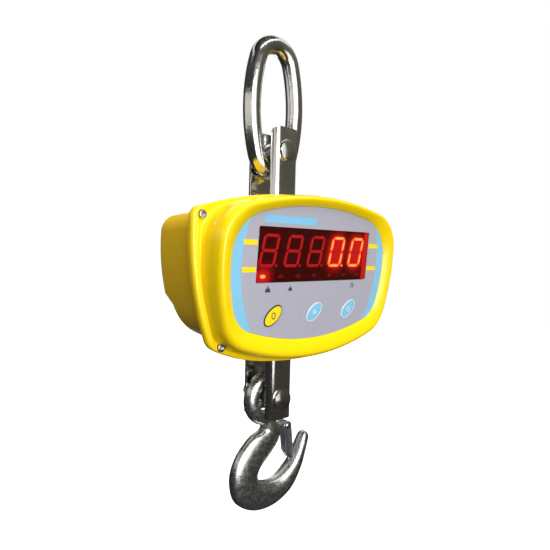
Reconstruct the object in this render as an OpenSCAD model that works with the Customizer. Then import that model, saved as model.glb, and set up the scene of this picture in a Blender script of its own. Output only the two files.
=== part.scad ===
// Crane scale: a forged lifting link, a forked load cell, a moulded housing with a tilted
// display, and a forged hook with a sprung latch.
// The origin is the inside top of the link, where a crane hook bears. +Z is up, and the
// display faces -Y. All sizes are in millimetres.

/* [Lifting link] */
// Diameter of the link's round bar
link_bar = 18; // [15:0.5:19]
// Width inside the link, at the middle of its bowed sides
link_w = 40; // [37:0.5:43]
// Radius inside the link's round ends
link_end_r = 14; // [13:0.5:16]
// Height inside the link
link_h = 111.3; // [105:0.1:130]

/* [Load cell] */
// Width of the column, seen from the front
cell_w = 32; // [30:1:34]
// Depth of the column, from front to back
cell_d = 46; // [44:1:46]
// Gap in both forks
fork_gap = 31; // [27:0.5:31.5]
// Distance from the upper pin's axis to the column's top
fork_top = 23; // [18:1:26]
// Distance from the lower pin's axis to the column's bottom
fork_end = 21; // [18:1:26]
// Distance between the two pins
pin_span = 255; // [250:1:265]
// Diameter of both pins
pin_d = 20; // [18:0.5:20]

/* [Housing] */
// Panel's middle in front of the column's axis
panel_out = 70; // [68:0.5:74]
// Panel's middle below the link's seat
panel_drop = 200; // [196:1:204]
// Forward lean of the panel in degrees
panel_tilt = 4.5; // [2:0.5:6]
// Flange's front face in front of the column's axis
flange_out = 50; // [48:0.5:52]
// Rear casing's lower back face behind the column's axis
back_out = 27; // [26:0.5:29]
// Extra depth of the rear casing's upper part
bay_depth = 10.5; // [9:0.5:12]
// Wall thickness of the rear casing
wall = 3.2; // [2.6:0.1:4]

/* [Display] */
// Width of the display window
window_w = 148.5; // [146:0.5:152]
// Height of the display window
window_h = 48.9; // [46:0.5:50]
// Height of a digit
digit_h = 30.5; // [28:0.5:32]
// Distance from digit to digit
digit_pitch = 29.25; // [28.5:0.25:29.25]
// Long axis of a key
key_l = 24; // [20:0.5:26]
// Short axis of a key
key_w = 14; // [12:0.5:15]
// Travel of a key
key_travel = 0.5; // [0.3:0.1:0.6]

/* [Hook] */
// Bar diameter of the hook's eye
eye_bar = 16; // [15:0.5:17.5]
// Inner radius of the hook's eye
eye_r = 13.5; // [12.5:0.1:14]
// Shift of the bowl that hangs the hook's weight under its pin
hook_shift = 8.4; // [6:0.1:9.5]
// Thickness of the latch's sheet
latch_t = 1.4; // [1:0.1:1.6]

/* [Hidden] */
$fn = 64;
// Overshoot of a cut beyond the face that it opens
cut = 1;
// Gap between a hung piece and the pin that carries it
seat_gap = 0.3;
// Gap between pieces of one body that slide together
slip = 0.05;

// Heights of the main axes
pin_r = pin_d / 2;
upper_z = -(link_h - pin_r - seat_gap);
lower_z = upper_z - pin_span;
cell_top = upper_z + fork_top;
cell_bottom = lower_z - fork_end;
upper_floor = upper_z - 52;
lower_floor = lower_z + 56;
cell_edge = 7;
panel_z = -panel_drop;

// Pins: studs behind the column carry the nuts
stud_r = 6;
stud_l = 8;

// Gauge pockets and brackets on the column's sides
gauge_z = panel_z - 12;
gauge_r = 11;
gauge_depth = 3;
bracket_z = panel_z + 14;
bracket_y = 6;
bracket_h = 11;
bracket_t = 3;
bracket_foot = 22;
bracket_hole_r = 2.5;
bracket_hole_l = 12;

// Depths of the housing's faces
flange_back = -flange_out + 4.5;
gasket_t = 0.6;
casing_front = flange_back + gasket_t;
casing_flange = 3;
rear_round = 13;
rear_draft = 4.5;
step_top = -46;
step_low = -56;

// Column passages: thickness of the seals, and heights from the panel's middle
seal_t = 2;
upper_seal = [30, 48.5];
lower_seal = [-107, -88];

// Screws that join the housing
screw_r = 1.85;
screw_head_r = 3.6;
screw_head_h = 3.4;
screw_sink = 1.6;
boss_r = 5.5;
boss_l = 9;

// Battery cover on the deeper part of the casing, and charging socket below it
cover_w = 100;
cover_h = 54;
cover_mid = -12;
cover_t = 2;
cover_r = 6;
cover_lip = 8;
cover_places = [[46, 23.5], [-46, 23.5], [46, -23.5], [-46, -23.5]];
charge_at = [34, -66];
charge_r = 7;
charge_wall = 2;

// Outlines of the housing, seen from the front: height of the top, radii from the top round to
// the bottom, and the angles of the outward normal at which the radius changes. The last radius
// follows from closing the outline on the middle line.
flange = [52, [407, 11, 275, 17, 180], [0, 17, 88, 110, 155, 171]];
bezel = [50, [365, 38, 200, 34], [0, 13.8, 86, 107, 160]];
panel = [39.7, [300, 40, 137, 28], [0, 13.5, 86, 107, 162]];
casing = [47.7, [380, 22, 196, 53], [0, 15.4, 86, 107, 160]];

// Angles of the normal at which every outline is sampled
spans = [[0, 15, 5], [15, 88, 9], [88, 108, 5], [108, 158, 7], [158, 180, 5]];
angles = concat([for (s = spans) for (i = [0 : s[2] - 1]) s[0] + (s[1] - s[0]) * i / s[2]], [180]);
rows = len(angles) - 1;

// Places on the front, from the panel's middle
screw_places = [[117.4, 26.6], [-117.4, 26.6], [96.5, -85.9], [-96.5, -85.9]];
window_mid = -5.5;
digit_mid = -2;
lamp_mid = -25;
key_places = [[-51.5, -60], [1, -60], [50.6, -60]];
key_lean = 40;
post_places = [[80, 14], [-80, 14], [72, -58], [-72, -58]];
spacer_places = [[48, 14], [-48, 14], [40, -56], [-40, -56]];

// Depths behind the panel's face
overlay_t = 0.5;
plate_t = 2;
board_t = 1.6;
board_depth = 12.9;
main_depth = 28.4;
key_stand = 0.8;
key_foot = 6;

// Latch, from the hook's lower pin
pivot = [18.1, -38.5];
pivot_r = 2;
latch_w = 13;
latch_lean = 8.5;

// Sums and small helpers
function sum(v) = v * [for (x = v) 1];
function clamp(v, low, high) = max(low, min(v, high));
function mix(a, b, t) = a * (1 - t) + b * t;

// Radii with the closing one, and angles with the last one
function knee(o) = sum([for (i = [0 : len(o[1]) - 1]) o[1][i] * (sin(o[2][i + 1]) - sin(o[2][i]))]);
function radii(o) = concat(o[1], [knee(o) / sin(o[2][len(o[1])])]);
function stops(o) = concat(o[2], [180]);

// Point of an outline where its normal has angle a from straight up, moved out by d
function edge(o, a, d = 0) =
    let (r = radii(o), s = stops(o), n = len(r) - 1)
    [sum([for (i = [0 : n]) r[i] * (sin(clamp(a, s[i], s[i + 1])) - sin(s[i]))]) + d * sin(a),
     o[0] - sum([for (i = [0 : n]) r[i] * (cos(s[i]) - cos(clamp(a, s[i], s[i + 1])))]) + d * cos(a)];

// Right half of a ring: upright at depth y, or on the tilted panel at height w above its face
function upright(o, d, y) = [for (a = angles) let (p = edge(o, a, d)) [p[0], y, panel_z + p[1]]];
function lean(p, w) = [p[0], -panel_out - p[1] * sin(panel_tilt) - w * cos(panel_tilt),
    panel_z + p[1] * cos(panel_tilt) - w * sin(panel_tilt)];
function tilted(o, d, w) = [for (a = angles) lean(edge(o, a, d), w)];
function between(h, k, t) = [for (i = [0 : rows]) mix(h[i], k[i], t)];

// Whole outlines: in space from a right half, and flat for an extrusion
function closed(h) = concat(h, [for (i = [rows - 1 : -1 : 1]) [-h[i][0], h[i][1], h[i][2]]]);
function flat(o, d) =
    let (h = [for (a = angles) edge(o, a, d)])
    concat(h, [for (i = [rows - 1 : -1 : 1]) [-h[i][0], h[i][1]]]);

// Triangles of a band from ring j to ring k, each with n points
function band(j, k, n) = [for (i = [0 : n - 1]) let (m = (i + 1) % n)
    each [[j * n + i, j * n + m, k * n + m], [j * n + i, k * n + m, k * n + i]]];

// Cross strips that close a ring from side to side, facing back or front
function strip(first, i) =
    let (n = 2 * rows, left = (n - i) % n, next_left = n - i - 1)
    [first + i, first + left, first + next_left, first + i + 1];
function cap(first) = [for (i = [0 : rows - 1])
    let (q = strip(first, i)) i == 0 ? [q[0], q[2], q[3]] : (i == rows - 1 ? [q[0], q[1], q[2]] : q)];
function flipped(faces) = [for (f = faces) [for (i = [len(f) - 1 : -1 : 0]) f[i]]];

// Skin through rings that joins the last ring to the first
module loop_loft(rings) {
    n = len(rings[0]);
    m = len(rings);
    polyhedron([for (r = rings) each r], [for (j = [0 : m - 1]) each band(j, (j + 1) % m, n)]);
}

// Skin through rings that is closed across its first and last ring, as on a cup
module cup_loft(halves) {
    n = 2 * rows;
    m = len(halves);
    sides = [for (j = [0 : m - 2]) each band(j, j + 1, n)];
    polyhedron([for (h = halves) each closed(h)], concat(cap(0), sides, flipped(cap((m - 1) * n))));
}

// Places children on the tilted panel: X right, Y up the panel and Z out of its face
module on_panel(w = 0) {
    translate([0, -panel_out, panel_z])
        rotate([90 + panel_tilt, 0, 0])
            translate([0, 0, w])
                children();
}

// Turns Z to point backwards, along +Y
module along_y(y = 0, x = 0, z = 0) {
    translate([x, y, z]) rotate([-90, 0, 0]) children();
}

// Rectangle with round corners, about its middle
module round_rect(w, h, r) {
    square([w - 2 * r, h], center = true);
    square([w, h - 2 * r], center = true);
    for (sx = [-1, 1], sy = [-1, 1])
        translate([sx * (w / 2 - r), sy * (h / 2 - r)]) circle(r);
}

// Circle of the link's bar on an arc of radius r about the point c, its outer side facing angle a
function bar_ring(c, r, a) =
    let (sides = 24)
    [for (i = [0 : sides - 1])
        let (t = 360 * i / sides, far = r + link_bar / 2 * cos(t))
        [c[0] + far * cos(a), -link_bar / 2 * sin(t), c[1] + far * sin(a)]];

// Lifting link: one bar bent to an oval of two round ends and two bowed sides, round the upper pin
module lifting_link() {
    steps = 12;
    half = (link_w + link_bar) / 2;
    end_r = link_end_r + link_bar / 2;
    rise = link_h / 2 - link_end_r;
    side_r = (half * half + rise * rise - end_r * end_r) / (2 * (half - end_r));
    turn = asin(rise / (side_r - end_r));
    arcs = [
        [[0, rise], end_r, turn, 180 - turn],
        [[side_r - half, 0], side_r, 180 - turn, 180 + turn],
        [[0, -rise], end_r, 180 + turn, 360 - turn],
        [[half - side_r, 0], side_r, -turn, turn]];
    color("silver")
        translate([0, 0, -link_h / 2])
            loop_loft([for (arc = arcs, i = [0 : steps - 1])
                bar_ring(arc[0], arc[1], mix(arc[2], arc[3], i / steps))]);
}

// Slot of a fork, open at one end and round at its floor
module fork_slot(floor_z, length, up) {
    translate([-cell_w / 2 - cut, 0, floor_z + up * fork_gap / 2]) {
        rotate([0, 90, 0]) cylinder(d = fork_gap, h = cell_w + 2 * cut);
        translate([0, -fork_gap / 2, up > 0 ? 0 : -length])
            cube([cell_w + 2 * cut, fork_gap, length]);
    }
}

// Section of the column, swollen by d
module column_section(d) {
    round_rect(cell_w + 2 * d, cell_d + 2 * d, cell_edge + d);
}

// Bar of the column with rounded edges and ends, before its slots and holes are cut
module column_bar() {
    top_r = 7;
    bottom_r = 3;
    length = cell_top - cell_bottom;
    half = length / 2;
    intersection() {
        translate([0, 0, cell_bottom]) linear_extrude(length) column_section(0);
        along_y(-cell_d / 2 - cut, 0, cell_top - half)
            linear_extrude(cell_d + 2 * cut) {
                translate([0, -half / 2]) round_rect(cell_w, half, top_r);
                translate([0, half / 2]) round_rect(cell_w, half, bottom_r);
                square([cell_w, half], center = true);
            }
    }
}

// Load cell: a column that is forked at both ends, with gauge pockets in its sides
module load_cell() {
    color("gainsboro")
        difference() {
            column_bar();
            fork_slot(upper_floor, cell_top - upper_floor, 1);
            fork_slot(lower_floor, lower_floor - cell_bottom, -1);
            for (z = [upper_z, lower_z])
                along_y(-cell_d / 2 - cut, 0, z) cylinder(r = pin_r + slip, h = cell_d + 2 * cut);
            for (side = [-1, 1]) {
                translate([side * (cell_w / 2 - gauge_depth), 0, gauge_z])
                    rotate([0, side * 90, 0]) cylinder(r = gauge_r, h = gauge_depth + cut);
                translate([side * (cell_w / 2 - bracket_hole_l), bracket_y, bracket_z])
                    rotate([0, side * 90, 0]) cylinder(r = bracket_hole_r, h = bracket_hole_l + cut);
            }
        }
}

// Discs that seal the gauge pockets
module gauge_covers() {
    cover = gauge_depth - 0.4;
    color("dimgray")
        for (side = [-1, 1])
            translate([side * (cell_w / 2 - gauge_depth), 0, gauge_z])
                rotate([0, side * 90, 0]) cylinder(r = gauge_r - slip, h = cover);
}

// Pin with a domed head in front and a stud behind
module fork_pin(z) {
    head_r = pin_r + 0.8;
    head_h = 5;
    dome_h = 2;
    dome_r = (head_r * head_r + dome_h * dome_h) / (2 * dome_h);
    along_y(-cell_d / 2, 0, z) {
        cylinder(r = pin_r, h = cell_d);
        translate([0, 0, cell_d]) cylinder(r = stud_r, h = stud_l);
        mirror([0, 0, 1])
            intersection() {
                cylinder(r = head_r, h = head_h);
                translate([0, 0, head_h - dome_r]) sphere(dome_r);
            }
    }
}

// Thin hexagon nut on a pin's stud
module pin_nut(z) {
    across = 19;
    nut_h = 5.5;
    along_y(cell_d / 2, 0, z)
        difference() {
            cylinder(d = across / cos(30), h = nut_h, $fn = 6);
            translate([0, 0, -cut]) cylinder(r = stud_r + slip, h = nut_h + 2 * cut);
        }
}

module upper_pin() { color("lightgray") fork_pin(upper_z); }
module upper_nut() { color("lightgray") pin_nut(upper_z); }
module lower_pin() { color("lightgray") fork_pin(lower_z); }
module lower_nut() { color("lightgray") pin_nut(lower_z); }

// Weight of the valley beside the bezel: full at the sides, none at the top and bottom
function side_weight(a) = pow(sin(a), 1.5);

// Ring whose offset and depth grow towards the sides
function swelling(o, d0, d1, y0, y1) = [for (a = angles)
    let (k = side_weight(a), p = edge(o, a, d0 + d1 * k)) [p[0], y0 + y1 * k, panel_z + p[1]]];

// Section of the bezel's bead: share of the way from the outer wall to the panel, and height
bead = [
    [0, -5], [0.03, -1], [0.07, 2], [0.15, 4.2], [0.27, 5.4],
    [0.45, 5.1], [0.68, 3.6], [0.88, 1.8], [1, 0.4]];

// Front cover: flange, valley, bezel and the ledge that carries the panel
module front_cover() {
    face = -flange_out;
    ledge = 6;
    recess = 6;
    seat = overlay_t + plate_t + 0.1;
    crest = swelling(flange, -0.8, -5.4, face - 0.2, 0);
    foot = swelling(bezel, 0, 0.5, face - 2.2, 0);
    wall_top = tilted(bezel, 0, bead[0][1]);
    skin = [
        upright(flange, -0.8, flange_back),
        upright(flange, 0, flange_back - 0.8),
        swelling(flange, 0, 0, face + 3.2, 0),
        swelling(flange, -0.2, -0.4, face + 1.4, 0),
        swelling(flange, -0.5, -1.6, face + 0.2, 0),
        crest,
        between(crest, swelling(bezel, 0, 0.5, face - 0.2, 3.2), 0.35),
        between(crest, swelling(bezel, 0, 0.5, face - 0.6, 2.6), 0.75),
        foot,
        between(foot, wall_top, 0.3),
        between(foot, wall_top, 0.65)];
    rim = [for (b = bead) between(tilted(bezel, 0, b[1]), tilted(panel, 0.4, b[1]), b[0])];
    inside = [
        tilted(panel, 0.2, -seat),
        tilted(panel, -ledge, -seat),
        tilted(panel, -ledge, -seat - 2.6),
        between(tilted(panel, 0, -8), tilted(bezel, 0, -8), 0.7),
        upright(casing, -8, flange_back)];
    color("gold")
        difference() {
            loop_loft([for (half = concat(skin, rim, inside)) closed(half)]);
            for (p = screw_places)
                along_y(-flange_out, p[0], panel_z + p[1]) {
                    cylinder(r = screw_r + 0.35, h = wall + 5);
                    translate([0, 0, screw_sink - recess]) cylinder(r = screw_head_r + 0.6, h = recess);
                }
        }
}

// Depth of the rear casing's back at height z above the panel's middle
function back_y(z) = back_out + bay_depth * clamp((z - step_low) / (step_top - step_low), 0, 1);

// Ring of the rear casing: inset d, set forward from the back by f, or upright at depth y
function back_ring(d, f) = [for (a = angles)
    let (p = edge(casing, a, d)) [p[0], back_y(p[1]) - f, panel_z + p[1]]];

// Ring of the casing's rear rounding at angle t, for the skin at depth w inside the outer face
function rear_ring(t, w) =
    let (r = rear_round - w)
    back_ring(-rear_draft - w - r * (1 - cos(t)), w + r * (1 - sin(t)));

// Rear casing: drafted box with a deeper upper part, passages for the column and screw bosses
module rear_casing() {
    turns = [90, 68, 45, 22, 0];
    flange_rear = casing_front + casing_flange;
    bay_face = back_out + bay_depth;
    outer = [for (t = turns) rear_ring(t, 0)];
    inner = [for (i = [len(turns) - 1 : -1 : 0]) rear_ring(turns[i], wall)];
    front = [
        upright(casing, 0, flange_rear),
        upright(flange, -1.2, flange_rear),
        upright(flange, -0.4, flange_rear - 0.8),
        upright(flange, -0.4, casing_front),
        upright(casing, -wall, casing_front)];
    color("goldenrod")
        difference() {
            union() {
                cup_loft(concat(outer, front, inner));
                for (p = screw_places)
                    along_y(casing_front + 0.4, p[0], panel_z + p[1]) cylinder(r = boss_r, h = boss_l);
            }
            for (p = screw_places)
                along_y(casing_front - cut, p[0], panel_z + p[1])
                    cylinder(r = screw_r + slip, h = boss_l - 0.5);
            translate([0, 0, panel_z]) {
                for (z = [upper_seal, lower_seal])
                    translate([0, 0, min(z) - 10]) linear_extrude(40) column_section(seal_t + 0.1);
                along_y(bay_face - cover_t - 0.1, 0, cover_mid)
                    linear_extrude(10) round_rect(cover_w + 0.6, cover_h + 0.6, cover_r + 0.3);
                along_y(back_out, 0, cover_mid)
                    linear_extrude(20) round_rect(cover_w - 2 * cover_lip, cover_h - 2 * cover_lip, cover_r);
                for (p = cover_places)
                    along_y(back_out, p[0], cover_mid + p[1]) cylinder(r = 1.3, h = 12);
                along_y(back_out - 10, charge_at[0], charge_at[1]) cylinder(r = charge_r, h = 20);
            }
        }
}

// Flat rubber ring between the two halves of the housing
module casing_gasket() {
    color("black")
        along_y(flange_back, 0, panel_z)
            mirror([0, 1, 0])
                linear_extrude(gasket_t)
                    difference() {
                        polygon(flat(flange, -2.4));
                        polygon(flat(casing, -6));
                        for (p = screw_places) translate(p) circle(r = 2.6);
                    }
}

// Socket-head screws that join the two halves
module cover_screws() {
    socket_r = 1.75;
    socket_h = 2;
    length = 11;
    color("lightgray")
        for (p = screw_places)
            along_y(-flange_out + screw_sink, p[0], panel_z + p[1])
                difference() {
                    union() {
                        mirror([0, 0, 1]) cylinder(r = screw_head_r, h = screw_head_h);
                        cylinder(r = screw_r, h = length);
                    }
                    translate([0, 0, -screw_head_h - cut])
                        cylinder(r = socket_r, h = socket_h + cut, $fn = 6);
                }
}

// Rubber collars where the column passes through the casing
module column_seals() {
    color("black")
        for (z = [upper_seal, lower_seal])
            translate([0, 0, panel_z + z[0]])
                linear_extrude(z[1] - z[0])
                    difference() {
                        column_section(seal_t);
                        column_section(0.1);
                    }
}

// Cover of the battery bay
module battery_cover() {
    sink = 1;
    color("gold")
        along_y(back_out + bay_depth - cover_t, 0, panel_z + cover_mid)
            mirror([0, 1, 0])
                difference() {
                    linear_extrude(cover_t) round_rect(cover_w, cover_h, cover_r);
                    for (p = cover_places) translate(p) {
                        translate([0, 0, -cut]) cylinder(r = 1.6, h = cover_t + 2 * cut);
                        translate([0, 0, cover_t - sink]) cylinder(r = 2.9, h = sink + cut);
                    }
                }
}

// Pan-head screws of the battery cover
module battery_screws() {
    head_r = 2.7;
    head_h = 1.4;
    slot = [3.2, 0.6];
    color("lightgray")
        for (p = cover_places)
            along_y(back_out + bay_depth - 1, p[0], panel_z + cover_mid + p[1])
                difference() {
                    union() {
                        cylinder(r = head_r, h = head_h);
                        translate([0, 0, -6]) cylinder(r = 1.25, h = 6);
                    }
                    for (turn = [0, 90])
                        rotate(turn) translate([0, 0, head_h]) cube([slot[0], slot[1], 1.6], center = true);
                }
}

// Flat rechargeable pack behind the column, with two terminals
module battery_pack() {
    pack = [80, 9.4, 36];
    color("dodgerblue")
        translate([0, cell_d / 2 + 0.8, panel_z + cover_mid]) {
            translate([-pack[0] / 2, 0, -pack[2] / 2]) cube(pack);
            for (side = [-1, 1])
                translate([side * 12, pack[1] / 2, pack[2] / 2]) cylinder(r = 2, h = 3);
        }
}

// Round charging socket in the lower back
module charge_socket() {
    depth = 14;
    rim_h = 2.4;
    color("dimgray")
        along_y(back_out - depth, charge_at[0], panel_z + charge_at[1])
            difference() {
                union() {
                    cylinder(r = charge_r - slip, h = depth + rim_h / 2);
                    translate([0, 0, depth]) cylinder(r = charge_r + rim_h, h = rim_h);
                }
                translate([0, 0, depth - 6]) cylinder(r = charge_r - charge_wall, h = 6 + rim_h + cut);
            }
}

// Hexagon nut behind the charging socket
module charge_nut() {
    nut_h = 3;
    color("lightgray")
        along_y(back_out - wall - nut_h - 0.2, charge_at[0], panel_z + charge_at[1])
            difference() {
                cylinder(r = charge_r + 2.9, h = nut_h, $fn = 6);
                translate([0, 0, -cut]) cylinder(r = charge_r + slip, h = nut_h + 2 * cut);
            }
}

// Outline of a key, swollen by d
module key_outline(d = 0) {
    rotate(key_lean)
        polygon([for (i = [0 : 35]) [(key_l / 2 + d) * cos(10 * i), (key_w / 2 + d) * sin(10 * i)]]);
}

// Holes for the window and the keys
module panel_holes(d) {
    translate([0, window_mid]) square([window_w + 2 * d, window_h + 2 * d], center = true);
    for (p = key_places) translate(p) key_outline(d);
}

// Stiff plate behind the printed overlay
module panel_plate() {
    color("slategray")
        on_panel(-overlay_t - plate_t)
            linear_extrude(plate_t)
                difference() {
                    polygon(flat(panel, -0.3));
                    panel_holes(0.4);
                }
}

// Printed sheet on the plate
module panel_overlay() {
    color("lightsteelblue")
        on_panel(-overlay_t)
            linear_extrude(overlay_t)
                difference() {
                    polygon(flat(panel, -0.4));
                    panel_holes(0.4);
                }
}

// Dark red lens
module display_window() {
    color([0.25, 0.06, 0.06])
        on_panel(-overlay_t - plate_t)
            translate([0, window_mid, 0])
                linear_extrude(overlay_t + plate_t - 0.2) round_rect(window_w, window_h, 2);
}

// Slanted bar of a digit: ends at p and q, half thickness t, pointed ends
digit_slant = tan(8);
function slanted(p) = [p[0] + p[1] * digit_slant, p[1]];
module segment(p, q, t) {
    u = (q - p) / norm(q - p);
    v = [-u[1], u[0]];
    corners = [p, p + (u + v) * t, q + (v - u) * t, q, q - (u + v) * t, p + (u - v) * t];
    polygon([for (c = corners) slanted(c)]);
}

// Seven bars and a point of one digit, about its middle
module digit_face() {
    w = digit_h * 0.24;
    h = digit_h / 2 - 1.8;
    gap = 0.5;
    t = 1.8;
    for (y = [-h, 0, h]) segment([-w + gap, y], [w - gap, y], t);
    for (x = [-w, w], y = [-h, 0]) segment([x, y + gap], [x, y + h - gap], t);
    translate([w + 4.6 - h * digit_slant, -h]) circle(1.9, $fn = 24);
}

// Five digit blocks with raised bars
module led_digits() {
    block_d = 8.5;
    color("red")
        on_panel(-board_depth)
            for (i = [-2 : 2])
                translate([i * digit_pitch, digit_mid, 0]) {
                    translate([-digit_pitch / 2 + 0.1, -digit_h / 2 - 3, 0])
                        cube([digit_pitch - 0.2, digit_h + 6, block_d]);
                    translate([0, 0, block_d]) linear_extrude(0.4) digit_face();
                }
}

// Row of small lamps under the digits
module indicator_lamps() {
    color("firebrick")
        on_panel(-board_depth)
            for (i = [-3 : 3])
                translate([i * 21.4 - 3, lamp_mid - 1.5, 0]) cube([6, 3, 8.9]);
}

// Board that carries the digits, lamps and key switches
module display_board() {
    color("darkgreen")
        on_panel(-board_depth - board_t)
            difference() {
                translate([-86, -73, 0]) cube([172, 97, board_t]);
                for (p = post_places) translate([p[0], p[1], -cut]) cylinder(r = 1.6, h = board_t + 2 * cut);
            }
}

// Posts that hold the display board behind the panel plate
module board_posts() {
    color("lightgray")
        on_panel(-board_depth)
            for (p = post_places) translate(p) {
                cylinder(r = 3.5, h = board_depth - overlay_t - plate_t);
                translate([0, 0, -3]) cylinder(r = 1.5, h = 3);
            }
}

// Push switches under the keys
module key_switches() {
    body = 12;
    color("dimgray")
        on_panel(-board_depth)
            for (p = key_places) translate(p) {
                translate([-body / 2, -body / 2, 0]) cube([body, body, 4]);
                cylinder(r = 3, h = board_depth - key_foot - key_travel - 0.2);
            }
}

// Main board behind the display board, with its larger parts
module main_board() {
    color("darkgreen")
        on_panel(-main_depth - board_t) {
            translate([-54, -64, 0]) cube([108, 86, board_t]);
            for (x = [-30, 4, 32])
                translate([x - 8, -20, board_t]) cube([16, 12, 3]);
        }
}

// Spacers between the two boards
module board_spacers() {
    color("lightgray")
        on_panel(-main_depth)
            for (p = spacer_places) translate(p) cylinder(r = 3, h = main_depth - board_depth - board_t);
}

// Angles that fasten the casing's back to the column
module cell_brackets() {
    back = back_out + bay_depth - wall - 0.1;
    color("gray")
        for (side = [0, 1])
            mirror([side, 0, 0])
                translate([cell_w / 2, 0, bracket_z])
                    difference() {
                        translate([0, 0, -bracket_h / 2]) {
                            translate([0, -bracket_y, 0]) cube([bracket_t, back + bracket_y, bracket_h]);
                            translate([0, back - bracket_t, 0]) cube([bracket_foot, bracket_t, bracket_h]);
                        }
                        translate([-cut, bracket_y, 0])
                            rotate([0, 90, 0]) cylinder(r = bracket_hole_r + 0.2, h = bracket_t + 2 * cut);
                    }
}

// Screws that hold the brackets to the column
module bracket_screws() {
    length = bracket_hole_l + bracket_t - 2;
    color("lightgray")
        for (side = [-1, 1])
            translate([side * (cell_w / 2 + bracket_t), bracket_y, bracket_z])
                rotate([0, side * 90, 0]) {
                    cylinder(r = 4.2, h = 3);
                    translate([0, 0, -length]) cylinder(r = bracket_hole_r - slip, h = length);
                }
}

// Stations of the hook from neck to tip, from the lower pin: inner point, outer point, width
stations = [
    [[8, -24], [-8, -24], 15],
    [[9.5, -33], [-10, -33], 16.4],
    [[10, -41], [-16, -37.5], 16.4],
    [[8.5, -51], [-29.5, -42.5], 16.4],
    [[-0.5, -62], [-44, -55], 17],
    [[-14, -73], [-52.5, -70], 17.5],
    [[-21, -83.5], [-54.5, -86.5], 18],
    [[-16.5, -91.5], [-48, -107], 18],
    [[-5, -94.8], [-26, -121.5], 18],
    [[7.5, -93.5], [1.5, -123.5], 18.5],
    [[19, -87.5], [25.5, -112.5], 20],
    [[28.5, -79.5], [41, -92], 18.5],
    [[35.5, -69.5], [47, -77], 17],
    [[40.5, -60], [51.6, -65.5], 15],
    [[43.6, -54.4], [53.8, -58], 12.5],
    [[46.8, -51.9], [51.4, -53.6], 6.5]];

// Point of a smooth run through the list p at place t
function run(p, t) =
    let (n = len(p) - 1, i = min(floor(t), n - 1), f = t - i,
         a = p[max(i - 1, 0)], b = p[i], c = p[i + 1], d = p[min(i + 2, n)])
    b + (c - a) * f / 2 + (2 * a - 5 * b + 4 * c - d) * f * f / 2 + (3 * b - a - 3 * c + d) * f * f * f / 2;

// Cosine or sine c of an oval's angle, drawn out so that the oval is fuller than an ellipse
function fuller(c) = sign(c) * pow(abs(c), 0.8);

// Oval of the hook at place t: across from the inner to the outer run, and as wide as its station
function hook_oval(t, sides) =
    let (p = run([for (s = stations) s[0]], t),
         q = run([for (s = stations) s[1]], t),
         w = run([for (s = stations) s[2]], t) / 2,
         m = (p + q) / 2 + [hook_shift * min(1, t / 2), 0],
         h = (q - p) / 2)
    [for (i = [0 : sides - 1])
        let (c = fuller(cos(360 * i / sides)), s = fuller(sin(360 * i / sides)))
        [m[0] + h[0] * c, w * s, m[1] + h[1] * c]];

// Skin through rings of n points, closed flat at both ends
module rod_loft(rings) {
    n = len(rings[0]);
    count = len(rings) - 1;
    first = [for (i = [0 : n - 1]) i];
    last = [for (i = [n - 1 : -1 : 0]) count * n + i];
    sides = [for (j = [0 : count - 1]) each flipped(band(j, j + 1, n))];
    polyhedron([for (r = rings) each r], concat([first], sides, [last]));
}

// Swept body of the hook
module hook_body() {
    fine = 2;
    rod_loft([for (j = [0 : (len(stations) - 1) * fine]) hook_oval(j / fine, 20)]);
}

// Hook: eye round the lower pin, swept body and a lug for the latch
module hook() {
    hang = eye_r - pin_r - seat_gap;
    lug_r = 3.3;
    lug_w = 5;
    lug_root = 4;
    color("silver")
        difference() {
            union() {
                along_y(0, 0, lower_z - hang)
                    rotate_extrude() translate([eye_r + eye_bar / 2, 0]) circle(d = eye_bar);
                translate([0, 0, lower_z]) hook_body();
                at_pivot() {
                    along_y(-lug_w / 2) cylinder(r = lug_r, h = lug_w);
                    translate([lug_root - pivot[0], -lug_w / 2, -lug_r])
                        cube([pivot[0] - lug_root, lug_w, 2 * lug_r]);
                }
            }
            at_pivot() along_y(-lug_w) cylinder(r = pivot_r + slip, h = 2 * lug_w);
        }
}

// Places children at the latch's pivot
module at_pivot() {
    translate([hook_shift + pivot[0], 0, lower_z + pivot[1]]) children();
}

// Rivet through the lug and the latch
module latch_pin() {
    rivet_r = 3.2;
    rivet_h = 1.2;
    half = latch_w / 2 + 0.3;
    color("lightgray")
        at_pivot() {
            along_y(-half) cylinder(r = pivot_r, h = 2 * half);
            for (y = [-half - rivet_h, half]) along_y(y) cylinder(r = rivet_r, h = rivet_h);
        }
}

// Torsion spring: a coil on each side of the lug
module latch_spring() {
    wire = 0.45;
    coil_r = 3;
    start = 3.05;
    pitch = 1;
    turns = 1.5;
    per_turn = 12;
    sides = 8;
    color("dimgray")
        at_pivot()
            for (side = [0, 1])
                mirror([0, side, 0])
                    rod_loft([for (j = [0 : turns * per_turn])
                        let (a = 360 * j / per_turn)
                        [for (i = [0 : sides - 1])
                            let (b = 360 * i / sides, r = coil_r + wire * cos(b))
                            [r * cos(a), start + pitch * j / per_turn + wire * sin(b), r * sin(a)]]]);
}

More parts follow.
